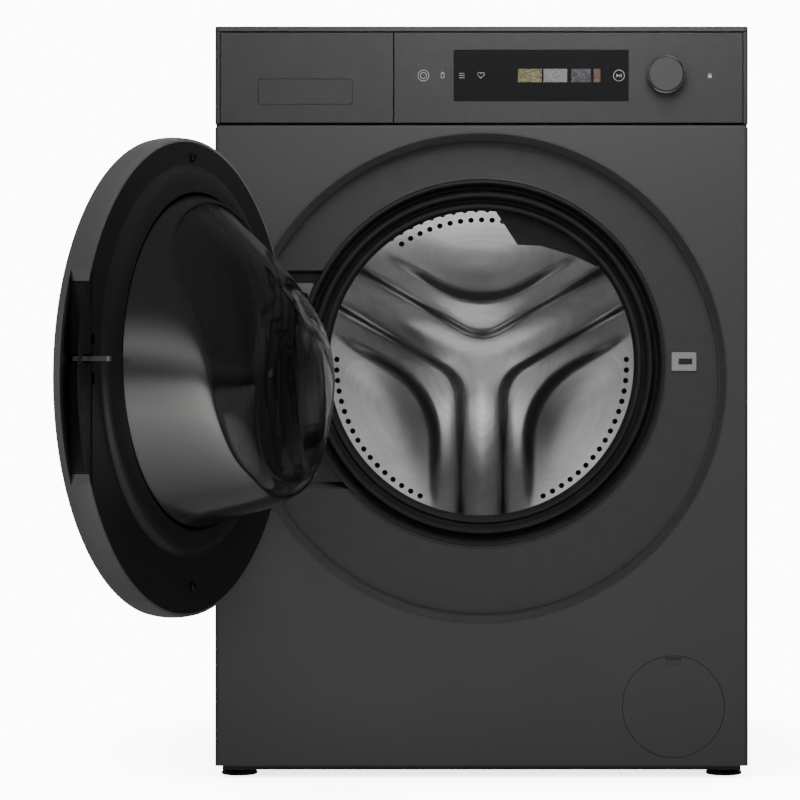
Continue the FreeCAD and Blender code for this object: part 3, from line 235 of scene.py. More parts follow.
# ---- material helpers ----
class Paint:
    """A material with its Principled shader and short ways to add detail to it."""

    def __init__(self, name, colour, rough, metal=0.0):
        self.material = bpy.data.materials.new(name)
        self.material.use_nodes = True
        self.tree = self.material.node_tree
        self.tree.nodes.clear()
        self.out = self.tree.nodes.new("ShaderNodeOutputMaterial")
        self.shader = self.tree.nodes.new("ShaderNodeBsdfPrincipled")
        self.tree.links.new(self.shader.outputs[0], self.out.inputs[0])
        self.colour = colour
        self.put("Base Color", (*colour, 1.0))
        self.put("Roughness", rough)
        self.put("Metallic", metal)
        self.rough = rough
        self.height = None

    def put(self, socket, value):
        self.shader.inputs[socket].default_value = value

    def link(self, a, b):
        self.tree.links.new(a, b)

    def node(self, kind, **inputs):
        made = self.tree.nodes.new(kind)
        for key, value in inputs.items():
            made.inputs[key.replace("_", " ")].default_value = value
        return made

    def place(self, stretch):
        coords = self.node("ShaderNodeTexCoord")
        mapping = self.node("ShaderNodeMapping", Scale=stretch)
        self.link(coords.outputs["Object"], mapping.inputs["Vector"])
        return mapping.outputs[0]

    def noise(self, scale, detail=3.0, stretch=(1, 1, 1), rough=0.55):
        made = self.node("ShaderNodeTexNoise", Scale=scale, Detail=detail, Roughness=rough)
        self.link(self.place(stretch), made.inputs["Vector"])
        return made.outputs["Fac"]

    def voronoi(self, scale, output="Distance", feature="F1"):
        made = self.node("ShaderNodeTexVoronoi", Scale=scale)
        made.feature = feature
        self.link(self.place((1, 1, 1)), made.inputs["Vector"])
        return made.outputs[output]

    def spread(self, value, low, high, start=0.0, end=1.0):
        made = self.node("ShaderNodeMapRange")
        for key, number in (("From Min", start), ("From Max", end), ("To Min", low), ("To Max", high)):
            made.inputs[key].default_value = number
        self.link(value, made.inputs["Value"])
        return made.outputs[0]

    def vary_rough(self, value, amount):
        self.link(self.spread(value, self.rough - amount, self.rough + amount, 0.3, 0.7),
                  self.shader.inputs["Roughness"])

    def vary_colour(self, value, other, start=0.3, end=0.7):
        share = self.spread(value, 0.0, 1.0, start, end)
        self.link(self.mixed(share, self.colour, other), self.shader.inputs["Base Color"])

    def mixed(self, share, first, second):
        """Colour that goes from first to second, each a colour or an output, as share goes from 0 to 1."""
        mix = self.node("ShaderNodeMix")
        mix.data_type = "RGBA"
        self.link(share, mix.inputs["Factor"])
        for socket, colour in (("A", first), ("B", second)):
            if isinstance(colour, tuple):
                mix.inputs[socket].default_value = (*colour, 1.0)
            else:
                self.link(colour, mix.inputs[socket])
        return mix.outputs["Result"]

    def times(self, a, b):
        made = self.node("ShaderNodeMath")
        made.operation = "MULTIPLY"
        self.link(a, made.inputs[0])
        self.link(b, made.inputs[1])
        return made.outputs[0]

    def between(self, share, first, second):
        """Shader that goes from first to second as share goes from 0 to 1."""
        made = self.node("ShaderNodeMixShader")
        self.link(share, made.inputs[0])
        self.link(first.outputs[0], made.inputs[1])
        self.link(second.outputs[0], made.inputs[2])
        return made

    def bump(self, value, distance, strength=1.0):
        made = self.node("ShaderNodeBump", Strength=strength, Distance=distance)
        self.link(value, made.inputs["Height"])
        if self.height is not None:
            self.link(self.height, made.inputs["Normal"])
        self.height = made.outputs[0]
        self.link(self.height, self.shader.inputs["Normal"])


def lighter(colour, k):
    return tuple(c * k for c in colour)


# ---- materials ----
def satin(name, colour, rough, metal):
    """Paint with a fine orange peel, and a slight drift of its gloss over the sheet."""
    p = Paint(name, colour, rough, metal)
    p.vary_rough(p.noise(7.0, 4.0), 0.035)
    p.bump(p.noise(1500.0, 2.0), 0.00004, 0.5)
    return p


def powder_coat(name, colour):
    """Satin metallic paint of the casing, with a faint flake."""
    p = satin(name, colour, 0.42, 0.2)
    p.vary_colour(p.noise(2300.0, 2.0), lighter(colour, 1.14), 0.42, 0.66)
    return p.material


def rim_coat_and_shade(name, colour):
    """Paint of the door's ring, with painted shade: its colour goes near black where ambient occlusion finds
    a hollow, as down in the finger slot.
    """
    p = satin(name, colour, 0.36, 0.3)
    flake = p.mixed(p.spread(p.noise(2300.0, 2.0), 0.0, 1.0, 0.42, 0.66), colour, lighter(colour, 1.12))
    # Painted shade: the colour is mixed towards near black in hollows such as the finger slot.
    hollow_shade = p.node("ShaderNodeAmbientOcclusion", Distance=0.03)
    depth = p.spread(hollow_shade.outputs["AO"], 0.0, 1.0, 0.45, 0.85)
    p.link(p.mixed(depth, (0.004, 0.004, 0.004), flake), p.shader.inputs["Base Color"])
    return p.material


def moulded(name, colour, rough=0.5, grain=1700.0, depth=0.00005, metal=0.0):
    """Moulded plastic with a fine spark-eroded grain."""
    p = Paint(name, colour, rough, metal)
    p.vary_colour(p.noise(60.0, 4.0), lighter(colour, 0.86))
    p.vary_rough(p.noise(190.0, 3.0), 0.05)
    p.bump(p.voronoi(grain), depth, 0.55)
    return p.material


def galvanised(name):
    """Zinc-coated sheet with its spangle."""
    p = Paint(name, (0.36, 0.37, 0.38), 0.42, 0.85)
    p.vary_colour(p.voronoi(95.0, "Color"), (0.52, 0.53, 0.54), 0.1, 0.9)
    p.vary_rough(p.voronoi(120.0, "Color"), 0.1)
    p.bump(p.noise(420.0, 3.0), 0.00006, 0.4)
    return p.material


def stainless(name, colour=(0.8, 0.798, 0.795), rough=0.22, stretch=(2.0, 240.0, 2.0)):
    """Bright annealed steel sheet with fine rolling lines."""
    p = Paint(name, colour, rough, 1.0)
    p.vary_colour(p.noise(9.0, 5.0, stretch), lighter(colour, 0.86))
    p.vary_rough(p.noise(14.0, 4.0), 0.05)
    p.bump(p.noise(10.0, 3.0, stretch), 0.00003, 0.25)
    return p.material


def cast(name, colour, rough, metal, pits=260.0, depth=0.0004):
    """As-cast surface: grainy, with scattered pits."""
    p = Paint(name, colour, rough, metal)
    p.vary_colour(p.noise(45.0, 6.0), lighter(colour, 0.72))
    p.bump(p.noise(pits, 5.0), depth, 0.5)
    p.bump(p.voronoi(pits * 0.35), depth * 1.6, 0.25)
    return p.material


def rubber(name, colour, rough=0.5):
    """Moulded rubber with a faint bloom."""
    p = Paint(name, colour, rough)
    p.vary_colour(p.noise(26.0, 5.0), lighter(colour, 1.5), 0.45, 0.8)
    p.vary_rough(p.noise(85.0, 4.0), 0.07)
    p.bump(p.noise(900.0, 3.0), 0.00006, 0.4)
    p.put("Specular IOR Level", 0.42)
    return p.material


def gloss(name, colour, rough=0.06):
    """Polished glass-fronted panel with barely visible wipe marks."""
    p = Paint(name, colour, rough)
    p.vary_colour(p.noise(5.0, 3.0), lighter(colour, 1.35))
    p.vary_rough(p.noise(21.0, 5.0, (1.0, 1.0, 3.0)), 0.02)
    p.bump(p.noise(16.0, 1.0), 0.00002, 0.12)
    p.put("Specular IOR Level", 0.3)
    return p.material


def circuit(name):
    """Green laminate with copper tracks under the lacquer."""
    p = Paint(name, (0.02, 0.12, 0.06), 0.35)
    tracks = p.voronoi(260.0, feature="DISTANCE_TO_EDGE")
    p.vary_colour(tracks, (0.16, 0.24, 0.08), 0.0, 0.08)
    p.bump(tracks, 0.00006, 0.3)
    return p.material


def bowl_glass(name):
    """Moulded glass with the slight waviness of pressing; its wall, where share is 0, is half mirror."""
    p = Paint(name, (0.94, 0.94, 0.935), 0.015)
    p.put("Transmission Weight", 1.0)
    p.put("IOR", 1.49)
    p.vary_rough(p.noise(18.0, 3.0), 0.008)
    p.bump(p.noise(11.0, 1.0), 0.0006, 0.10)
    wall = p.node("ShaderNodeBsdfPrincipled", Roughness=0.2, Metallic=1.0)
    wall.inputs["Base Color"].default_value = (0.24, 0.237, 0.233, 1.0)
    share = p.node("ShaderNodeAttribute")
    share.attribute_name = "share"
    glass = p.between(p.spread(share.outputs["Fac"], 0.6, 0.0), p.shader, wall)
    clear = p.node("ShaderNodeBsdfTransparent")
    clear.inputs["Color"].default_value = (0.8, 0.8, 0.8, 1.0)
    rays = p.node("ShaderNodeLightPath")
    lit = p.between(rays.outputs["Is Shadow Ray"], glass, clear)
    p.link(lit.outputs[0], p.out.inputs[0])
    return p.material


GRAPHITE = (0.0795, 0.0785, 0.0775)
MATERIALS = {
    "graphite_steel": powder_coat("graphite_steel", GRAPHITE),
    "graphite_plastic": moulded("graphite_plastic", (0.069, 0.068, 0.067), 0.42, metal=0.2),
    "rim_graphite": rim_coat_and_shade("rim_graphite", (0.17, 0.167, 0.163)),
    "galvanised": galvanised("galvanised"),
    "black_plastic": moulded("black_plastic", (0.014, 0.014, 0.0145), 0.36),
    "black_gloss": gloss("black_gloss", (0.008, 0.008, 0.009)),
    "display_glass": gloss("display_glass", (0.006, 0.006, 0.007), 0.08),
    "smoked_pane": gloss("smoked_pane", (0.012, 0.012, 0.013), 0.05),
    "bowl_glass": bowl_glass("bowl_glass"),
    "stainless": stainless("stainless"),
    "hinge_metal": stainless("hinge_metal", (0.42, 0.41, 0.4), 0.34, (2.0, 2.0, 160.0)),
    "light_plastic": moulded("light_plastic", (0.42, 0.42, 0.42), 0.45),
    "grey_rubber": rubber("grey_rubber", (0.017, 0.0175, 0.018), 0.44),
    "black_rubber": rubber("black_rubber", (0.012, 0.012, 0.012), 0.55),
    "tub_plastic": moulded("tub_plastic", (0.33, 0.34, 0.35), 0.5, 700.0, 0.0001),
    "concrete": cast("concrete", (0.38, 0.37, 0.35), 0.85, 0.0, 180.0, 0.0009),
    "cast_alloy": cast("cast_alloy", (0.5, 0.5, 0.51), 0.5, 0.9),
    "motor_iron": cast("motor_iron", (0.13, 0.125, 0.12), 0.5, 0.7, 320.0, 0.0002),
    "spring_steel": stainless("spring_steel", (0.3, 0.3, 0.31), 0.36),
    "white_plastic": moulded("white_plastic", (0.68, 0.69, 0.69), 0.4),
    "circuit": circuit("circuit"),
}


def wear(obj, slot):
    """Gives a new piece the look and the name of a material slot."""
    obj.data.materials.clear()
    obj.data.materials.append(MATERIALS[slot])


def dress_cad():
    """Every CAD node takes its slot's material, and crisp edges get a small radius."""
    for node, obj in NODES.items():
        obj.data.materials.clear()
        obj.data.materials.append(MATERIALS[SLOTS[node]])
        bevel(obj, 0.35 * MM, 2, 38.0)


# ---- gasket ----
def make_gasket():
    """Bellows between the surround and the tub: bead, two folds and the sealing lip."""
    line = [(207.0, -281.5), (204.0, -280.5), (202.6, -274.0), (201.4, -267.0), (197.6, -264.4),
            (194.6, -268.0), (191.8, -271.4), (188.6, -268.6), (187.4, -261.5), (184.0, -257.6),
            (180.2, -259.4), (177.0, -258.0), (174.8, -253.6), (176.6, -248.8), (181.6, -245.6),
            (184.8, -240.0), (185.4, -233.0), (185.6, -229.0)]
    profile = thick_profile(smooth_line(line, 5), 2.9)
    profile = [(r * MM, y * MM) for r, y in profile]
    gasket = revolved("door_gasket_bellows", profile, 0.0, AXIS_Z, 180)
    wear(gasket, "grey_rubber")
    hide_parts("door_gasket")
    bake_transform(gasket)


# ---- drum ----
PLATE_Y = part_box("drum_back")[1].y
DRUM_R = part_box("drum_back")[1].x
HOLE_R = 3.6 * MM
HOLES_ROUND = 86
HOLE_ROWS = (182.5 * MM, 195.0 * MM)
HOLE_DEPTH = 1.4 * MM
HOLE_CLEAR = 74 * MM         # no holes nearer than this to the middle line of an arm
RING_STEP = 2.5 * MM
ARM_FIRST = radians(270)
ARM_STEP = 2 * pi / 3
SHELF_RISE = 20.0 * MM       # the star's broad shelf at the hub
SHELF_FALL = 11.0 * MM       # how much lower the shelf is at the rim
RIDGE_RISE = 5.5 * MM        # the narrower ridge on the shelf
CREST_RISE = 1.6 * MM        # the rounded crest on the ridge
DISH_RISE = 17.0 * MM        # the plate's rim above its middle
WALL_HOLE_R = 2.1 * MM
DIMPLE = 0.35 * MM
SHELL_IN = 239.4 * MM        # inner radius of the drum wall
LIFTER_HALF_ANGLE = 0.16


def arm_distance(x, z, blend):
    """Distance from the nearest arm's middle line, rounded where two arms meet."""
    found = []
    for k in range(3):
        a = ARM_FIRST + k * ARM_STEP
        along = x * cos(a) + z * sin(a)
        across = abs(-x * sin(a) + z * cos(a))
        found.append(across if along > 0 else hypot(x, z))
    found.sort()
    near, far = found[0], found[1]
    t = max(0.0, blend - (far - near)) / blend
    return near - t * t * blend / 4


def star_height(x, z):
    """How far the drum back stands towards the front: a shelf, a ridge on it and a crowned crest."""
    r = hypot(x, z)
    inner = arm_distance(x, z, 25 * MM)
    outer = arm_distance(x, z, 60 * MM)
    ridge = 1 - 0.6 * smoothstep(22 * MM, 32 * MM, inner) - 0.4 * smoothstep(14 * MM, 42 * MM, inner)
    shelf = 1 - 0.5 * smoothstep(52 * MM, 66 * MM, outer) - 0.5 * smoothstep(48 * MM, 112 * MM, outer)
    crown = 1 - smoothstep(0, 27 * MM, inner)
    rim = 1 - smoothstep(212 * MM, 232 * MM, r)
    dish = DISH_RISE * (r / DRUM_R) ** 3
    fall = SHELF_RISE - SHELF_FALL * smoothstep(0, 200 * MM, r)
    return rim * ((fall - dish) * shelf + RIDGE_RISE * ridge + CREST_RISE * crown) + dish


def opened(grid, drilled, i, k):
    """Marks the four cells round a grid point as drilled and returns the eight points round them."""
    turns = len(grid[i])
    for di in (-1, 0):
        for dk in (-1, 0):
            drilled.add((i + di, (k + dk) % turns))
    around = ((-1, -1), (-1, 0), (-1, 1), (0, 1), (1, 1), (1, 0), (1, -1), (0, -1))
    return [grid[i + di][(k + dk) % turns] for di, dk in around]


def fill(bm, grid, drilled):
    """Faces of a grid that goes round, except where it is drilled."""
    turns = len(grid[0])
    for i in range(len(grid) - 1):
        for k in range(turns):
            if (i, k) not in drilled:
                m = (k + 1) % turns
                bm.faces.new((grid[i][k], grid[i][m], grid[i + 1][m], grid[i + 1][k]))


def drop_loose(bm):
    bmesh.ops.delete(bm, geom=[v for v in bm.verts if not v.link_faces], context="VERTS")


def make_drum_back():
    """Pressed back with the star and two rows of drilled holes between the arms."""
    bm = bmesh.new()
    turns = HOLES_ROUND * 4
    rings = int(round((DRUM_R - 0.5 * MM) / RING_STEP))
    grid = []
    for i in range(1, rings + 1):
        r = i * RING_STEP
        row = []
        for k in range(turns):
            a = ARM_FIRST + 2 * pi * k / turns
            x, z = r * cos(a), r * sin(a)
            row.append(bm.verts.new((x, PLATE_Y - star_height(x, z), AXIS_Z + z)))
        grid.append(row)
    hub = bm.verts.new((0, PLATE_Y - star_height(0, 0), AXIS_Z))
    drilled, rims = set(), []
    for row_number, radius in enumerate(HOLE_ROWS):
        i = int(round(radius / RING_STEP)) - 1
        for h in range(HOLES_ROUND):
            k = (h * 4 + 2 * row_number) % turns
            a = ARM_FIRST + 2 * pi * k / turns
            x, z = radius * cos(a), radius * sin(a)
            if arm_distance(x, z, 1 * MM) >= HOLE_CLEAR:
                rim = opened(grid, drilled, i, k)
                round_hole(rim, x, AXIS_Z + z)
                rims.append(rim)
    fill(bm, grid, drilled)
    for k in range(turns):
        bm.faces.new((hub, grid[0][(k + 1) % turns], grid[0][k]))
    for rim in rims:
        deepen(bm, rim, HOLE_DEPTH)
    drop_loose(bm)
    back = from_bmesh("drum_back_pressing", bm, 50)
    wear(back, "stainless")
    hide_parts("drum_back")
    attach(back, "drum")


def round_hole(rim, x, z):
    """Moves the points of a hole's rim onto a circle about (x, z), each at its own depth."""
    for vert in rim:
        offset = Vector((vert.co.x - x, 0, vert.co.z - z)).normalized() * HOLE_R
        vert.co = Vector((x + offset.x, vert.co.y, z + offset.z))


def deepen(bm, rim, depth):
    """Wall of a hole, going back from its rim."""
    back = [bm.verts.new(v.co + Vector((0, depth, 0))) for v in rim]
    for n, v in enumerate(rim):
        m = (n + 1) % len(rim)
        bm.faces.new((v, rim[m], back[m], back[n]))


def make_drum_wall():
    """Drum wall with its rolled mouth, pressed dimples and drilled holes in staggered rows."""
    low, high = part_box("drum_shell")
    radius, start, end = high.x - 0.6 * MM, low.y, high.y
    turns, rows = 4 * 80, 4 * 17
    bm = bmesh.new()
    mouth = 180.2 * MM
    lead = [(mouth, start + 9 * MM), (mouth, start + 4 * MM), (mouth + 1.2 * MM, start + 1.2 * MM),
            (mouth + 4 * MM, start), (mouth + 20 * MM, start), (mouth + 40 * MM, start),
            (radius - 8 * MM, start), (radius - 2.4 * MM, start + 2.4 * MM)]
    body = [(radius, start + 8 * MM + (end - start - 9 * MM) * j / rows) for j in range(rows + 1)]
    grid = []
    for r, y in lead + body:
        row = []
        for k in range(turns):
            a = 2 * pi * k / turns
            row.append(bm.verts.new((r * cos(a), y, AXIS_Z + r * sin(a))))
        grid.append(row)
    drilled = set()
    for j in range(4, rows - 2, 4):
        for h in range(turns // 4):
            k = (h * 4 + (2 if j % 8 else 0)) % turns
            a = 2 * pi * k / turns
            if not lifter_near(a):
                drill_wall(grid, drilled, len(lead) + j, k, a)
    fill(bm, grid, drilled)
    drop_loose(bm)
    wall = from_bmesh("drum_wall", bm, 50)
    wear(wall, "stainless")
    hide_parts("drum_shell")
    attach(wall, "drum")


def outward(point):
    return Vector((point.x, 0, point.z - AXIS_Z)).normalized()


def lifter_near(angle):
    """Whether a place round the drum is covered by one of the three lifters."""
    apart = [remainder(angle - pi / 2 - n * ARM_STEP, 2 * pi) for n in range(3)]
    return min(abs(a) for a in apart) < LIFTER_HALF_ANGLE


def drill_wall(grid, drilled, i, k, angle):
    """Round hole in a shallow dimple of the drum wall."""
    middle = grid[i][k].co.copy()
    side = Vector((-sin(angle), 0, cos(angle)))
    for vert in opened(grid, drilled, i, k):
        offset = vert.co - middle
        flat = (side * offset.dot(side) + Vector((0, offset.y, 0))).normalized() * WALL_HOLE_R
        vert.co = middle + flat
        vert.co = vert.co + outward(vert.co) * DIMPLE


def make_lifters():
    """Three paddles with a rounded crest and sloping ends."""
    low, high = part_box("drum_lifters")
    section = smooth_line([(-26.5, 240.0), (-22.0, 233.0), (-15.0, 214.0), (-7.5, 203.5), (0.0, 201.6),
                           (7.5, 203.5), (15.0, 214.0), (22.0, 233.0), (26.5, 240.0)], 3)
    steps, count = 26, len(section)
    verts, faces = [], []
    for i in range(steps + 1):
        t = i / steps
        rise = min(1.0, 0.12 + 6.5 * min(t, 1 - t)) if 0 < t < 1 else 0.0
        for x, r in section:
            base = sqrt(SHELL_IN ** 2 - (x * MM) ** 2)
            top = base - (base - min(base, r * MM)) * smoothstep(0, 1, rise)
            verts.append(Vector((x * MM, low.y + (high.y - low.y) * t, top)))
    for i in range(steps):
        for k in range(count - 1):
            faces.append((i * count + k, i * count + k + 1, (i + 1) * count + k + 1, (i + 1) * count + k))
    for n in range(3):
        turn = Matrix.Rotation(n * ARM_STEP, 4, "Y")
        placed = [turn @ v + Vector((0, 0, AXIS_Z)) for v in verts]
        paddle = mesh_object("drum_lifter_" + str(n + 1), placed, faces)
        wear(paddle, "light_plastic")
        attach(paddle, "drum")
        if n == 0:
            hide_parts("drum_lifters")


# ---- door ----
INNER_FACE = FRONT + 4.5 * MM    # inner face of the closed door
# Crease and ridge of the bowl as (elevation in degrees, radius, reach from the door's inner face).
CREASE = ((-90, 129.0, 109.0), (-56, 132.5, 108.0), (-39, 137.0, 101.0), (-15, 140.3, 93.5), (0, 141.5, 90.0),
          (14, 145.5, 80.0), (23, 151.0, 67.0), (40, 160.0, 41.0), (59, 165.5, 28.0), (90, 167.0, 24.0))
RIDGE = ((-90, 112.0, 118.5), (-55, 112.0, 118.0), (-28, 103.0, 119.5), (-2, 98.0, 121.5), (31, 96.0, 115.5),
         (53, 101.0, 104.0), (70, 108.0, 97.0), (90, 112.0, 94.0))
BASE_R = 177.5                   # radius of the bowl where the door clamps it
NOSE = 125.5                     # how far the bowl's end reaches
NOSE_DROP = 12.0                 # how much lower than the door's axis that end is


def track(points, at):
    """Smooth value along points of (place, value, ...), flat beyond the ends."""
    at = min(max(at, points[0][0]), points[-1][0])
    for i in range(len(points) - 1):
        if at <= points[i + 1][0]:
            early, late = points[max(i - 1, 0)], points[min(i + 2, len(points) - 1)]
            return hermite(early, points[i], points[i + 1], late, at)
    return points[-1][1:]


def hermite(early, before, after, late, at):
    """Values between before and after, with slopes taken from their neighbours."""
    made = []
    span = after[0] - before[0]
    t = (at - before[0]) / span
    for n in range(1, len(before)):
        one = (after[n] - early[n]) / (after[0] - early[0]) * span
        two = (late[n] - before[n]) / (late[0] - before[0]) * span
        made.append((2 * t ** 3 - 3 * t ** 2 + 1) * before[n] + (t ** 3 - 2 * t ** 2 + t) * one
                    + (3 * t ** 2 - 2 * t ** 3) * after[n] + (t ** 3 - t ** 2) * two)
    return made


def bezier(a, b, c, t):
    return tuple((1 - t) ** 2 * p + 2 * t * (1 - t) * q + t * t * r for p, q, r in zip(a, b, c))


def bowl_profile(elevation):
    """(radius, reach, share) points from the bowl's base to its pole, in millimetres."""
    crease_r, crease_w = track(CREASE, elevation)
    ridge_r, ridge_w = track(RIDGE, elevation)
    lip = (BASE_R - 0.2, 4.0)
    shoulder = (crease_r + (BASE_R - crease_r) * 0.16 + 3.0, crease_w * 0.93 + 4.0)
    line = [(BASE_R, -6.0, 0.0)]
    for i in range(22):
        line.append((*bezier(lip, shoulder, (crease_r, crease_w), i / 22), 0.0))
    line += [(crease_r - 0.4, crease_w - 0.5, 0.5), (crease_r - 1.6, crease_w - 0.3, 1.0)]
    bend = (crease_r * 0.32 + ridge_r * 0.68 + 1.0, crease_w * 0.32 + ridge_w * 0.68 + 4.0)
    for i in range(1, 13):
        line.append((*bezier((crease_r - 2.2, crease_w + 0.2), bend, (ridge_r, ridge_w), i / 12), 1.0))
    flat = (ridge_r * 0.72, NOSE - 0.2)
    for i in range(1, 15):
        line.append((*bezier((ridge_r, ridge_w), flat, (0.0, NOSE), i / 14), 1.0))
    return line[:-1]


def make_bowl():
    """Glass bowl of the door: a wide wall, a crease that climbs down its sides, and a slanted domed end."""
    turns = 200
    bm = bmesh.new()
    layer = bm.verts.layers.float.new("share")
    columns = []
    for k in range(turns):
        a = 2 * pi * k / turns
        elevation = degrees(asin(sin(a)))
        column = []
        for r, w, share in bowl_profile(elevation):
            drop = -NOSE_DROP * smoothstep(0.0, 124.0, w)
            point = (r * MM * cos(a), INNER_FACE + w * MM, AXIS_Z + (r * sin(a) + drop) * MM)
            vert = bm.verts.new(door_swung(point))
            vert[layer] = share
            column.append(vert)
        columns.append(column)
    pole = bm.verts.new(door_swung((0, INNER_FACE + NOSE * MM, AXIS_Z - NOSE_DROP * MM)))
    pole[layer] = 1.0
    for k in range(turns):
        a, b = columns[k], columns[(k + 1) % turns]
        for i in range(len(a) - 1):
            bm.faces.new((a[i], b[i], b[i + 1], a[i + 1]))
        bm.faces.new((a[-1], b[-1], pole))
    bowl = from_bmesh("door_glass_bowl", bm)
    solid = bowl.modifiers.new("wall", "SOLIDIFY")
    solid.thickness = 4.0 * MM
    solid.offset = -1.0
    wear(bowl, "bowl_glass")
    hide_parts("door_glass")
    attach(bowl, "door")


def door_disc(name, line, slot):
    """Turned piece of the door. line holds (radius, reach) in millimetres, reach from INNER_FACE."""
    profile = [(r * MM, INNER_FACE + reach * MM) for r, reach in line]
    disc = revolved(name, profile, 0.0, centre_of("door_surround").z, 160, closed=False, sharp=30)
    for vert in disc.data.vertices:
        vert.co = door_swung(vert.co)
    wear(disc, slot)
    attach(disc, "door")
    return disc


def make_door_panes():
    """Smoked outer pane, very slightly domed, and the matt black shield between it and the bowl."""
    face = smooth_line([(0.001, -29.3), (40.0, -29.28), (100.0, -29.17), (150.0, -29.0), (190.0, -28.6),
                        (206.0, -28.3), (210.6, -28.0), (212.2, -27.3), (212.5, -26.4)], 4)
    pane = door_disc("door_pane", face + [(212.5, -24.6), (0.001, -25.3)], "smoked_pane")
    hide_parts("door_cover")
    shield = [(0.001, -25.0), (150.0, -24.6), (186.0, -24.3), (186.0, -23.3), (150.0, -23.6), (0.001, -24.0)]
    door_disc("door_pane_lining", shield, "black_rubber")


# ---- display and dial ----
def flat_shape(bm, outline, y, depth):
    """Thin plate with the given (x, z) outline, its face at y and its back depth behind it."""
    front = [bm.verts.new((x, y, z)) for x, z in outline]
    back = [bm.verts.new((x, y + depth, z)) for x, z in outline]
    bm.faces.new(front)
    bm.faces.new(back[::-1])
    for n in range(len(outline)):
        m = (n + 1) % len(outline)
        bm.faces.new((front[n], back[n], back[m], front[m]))


def rectangle(x, z, w, h):
    return [(x - w / 2, z - h / 2), (x + w / 2, z - h / 2), (x + w / 2, z + h / 2), (x - w / 2, z + h / 2)]


def band_faces(bm, columns, closed=True):
    """Faces of a flat band between its columns of four corners."""
    count = len(columns)
    for n in range(count if closed else count - 1):
        a, b = columns[n], columns[(n + 1) % count]
        for p, q in ((0, 2), (2, 3), (3, 1), (1, 0)):
            bm.faces.new((a[p], a[q], b[q], b[p]))
    if not closed:
        for c in (columns[0], columns[-1]):
            bm.faces.new((c[0], c[2], c[3], c[1]))


def ring_shape(bm, x, z, r, width, y, depth, arc=360.0):
    """Flat ring, or an arc that starts on the right, of even width."""
    steps = max(8, int(48 * arc / 360))
    closed = arc >= 360
    columns = []
    for n in range(steps if closed else steps + 1):
        a = radians(arc * n / steps)
        corners = []
        for radius in (r - width / 2, r + width / 2):
            for place in (y, y + depth):
                corners.append(bm.verts.new((x + radius * cos(a), place, z + radius * sin(a))))
        columns.append(corners)
    band_faces(bm, columns, closed)


def heart_shape(bm, x, z, size, width, y, depth):
    """Outline of a heart, of even width."""
    steps = 64
    line = []
    for n in range(steps):
        t = 2 * pi * (n + 0.5) / steps
        up = 13 * cos(t) - 5 * cos(2 * t) - 2 * cos(3 * t) - cos(4 * t)
        line.append(Vector((x + size * 16 * sin(t) ** 3, 0, z + size * (up + 2.5))))
    columns = []
    for n in range(steps):
        along = (line[(n + 1) % steps] - line[n - 1]).normalized()
        side = Vector((along.z, 0, -along.x)) * width / 2
        corners = []
        for point in (line[n] - side, line[n] + side):
            for place in (y, y + depth):
                corners.append(bm.verts.new((point.x, place, point.z)))
        columns.append(corners)
    band_faces(bm, columns)


def make_icons():
    """Plain control symbols, printed on the fascia and shown in the display."""
    low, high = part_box("display_window")
    z = (low.z + high.z) / 2
    on_glass, on_fascia = low.y - 0.10 * MM, FRONT - 0.06 * MM
    thin, stroke = 0.12 * MM, 0.55 * MM
    bm = bmesh.new()
    power, key = low.x - 34.0 * MM, low.x - 12.5 * MM
    ring_shape(bm, power, z, 6.1 * MM, stroke, on_fascia, thin)
    ring_shape(bm, power, z, 3.4 * MM, stroke, on_fascia, thin)
    for dz in (-2.6, 2.6):
        flat_shape(bm, rectangle(key, z + dz * MM, 3.6 * MM, stroke), on_fascia, thin)
    for dx in (-1.6, 1.6):
        flat_shape(bm, rectangle(key + dx * MM, z, stroke, 4.8 * MM), on_fascia, thin)
    flat_shape(bm, rectangle(key, z + 3.6 * MM, 1.7 * MM, 0.9 * MM), on_fascia, thin)
    menu = low.x + 9.2 * MM
    for dz in (-2.5, 0.0, 2.5):
        flat_shape(bm, rectangle(menu, z + dz * MM, 6.0 * MM, stroke), on_glass, thin)
    heart_shape(bm, low.x + 30.6 * MM, z, 0.235 * MM, stroke * 0.8, on_glass, thin)
    play = high.x - 10.8 * MM
    ring_shape(bm, play, z, 6.1 * MM, stroke, on_glass, thin)
    left, tip = play - 2.6 * MM, play - 0.05 * MM
    flat_shape(bm, [(left, z - 1.8 * MM), (tip, z), (left, z + 1.8 * MM)], on_glass, thin)
    for dx in (1.1, 2.7):
        flat_shape(bm, rectangle(play + dx * MM, z, stroke, 3.6 * MM), on_glass, thin)
    lock = high.x + 91.5 * MM
    flat_shape(bm, rectangle(lock, z - 1.0 * MM, 4.2 * MM, 3.2 * MM), on_fascia, thin)
    ring_shape(bm, lock, z + 0.8 * MM, 1.5 * MM, stroke, on_fascia, thin, 180)
    icons = from_bmesh("control_symbols", bm, 20)
    icons.data.materials.append(glowing_symbol_material())
    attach(icons, CABINET)


def glowing_symbol_material():
    p = Paint("glowing_symbol_print", (0.45, 0.46, 0.46), 0.45)
    p.vary_colour(p.noise(900.0, 2.0), (0.38, 0.39, 0.39))
    # Every symbol glows faintly, also the printed ones on the fascia with no lamp behind them: painted
    # brightness.
    p.put("Emission Color", (0.8, 0.82, 0.82, 1.0))
    p.put("Emission Strength", 0.05)
    return p.material


CLOTH_TILES = (
    ("cloth_tile_gold", 72.3, 99.1, (0.045, 0.034, 0.012), (0.30, 0.26, 0.14), (260.0, 1.0, 620.0)),
    ("cloth_tile_grey", 101.0, 127.6, (0.10, 0.10, 0.10), (0.28, 0.28, 0.275), (300.0, 1.0, 900.0)),
    ("cloth_tile_dark", 132.2, 154.3, (0.008, 0.009, 0.01), (0.15, 0.155, 0.16), (520.0, 1.0, 420.0)),
    ("cloth_tile_brown", 157.5, 164.9, (0.05, 0.025, 0.015), (0.22, 0.13, 0.09), (600.0, 1.0, 500.0)),
)


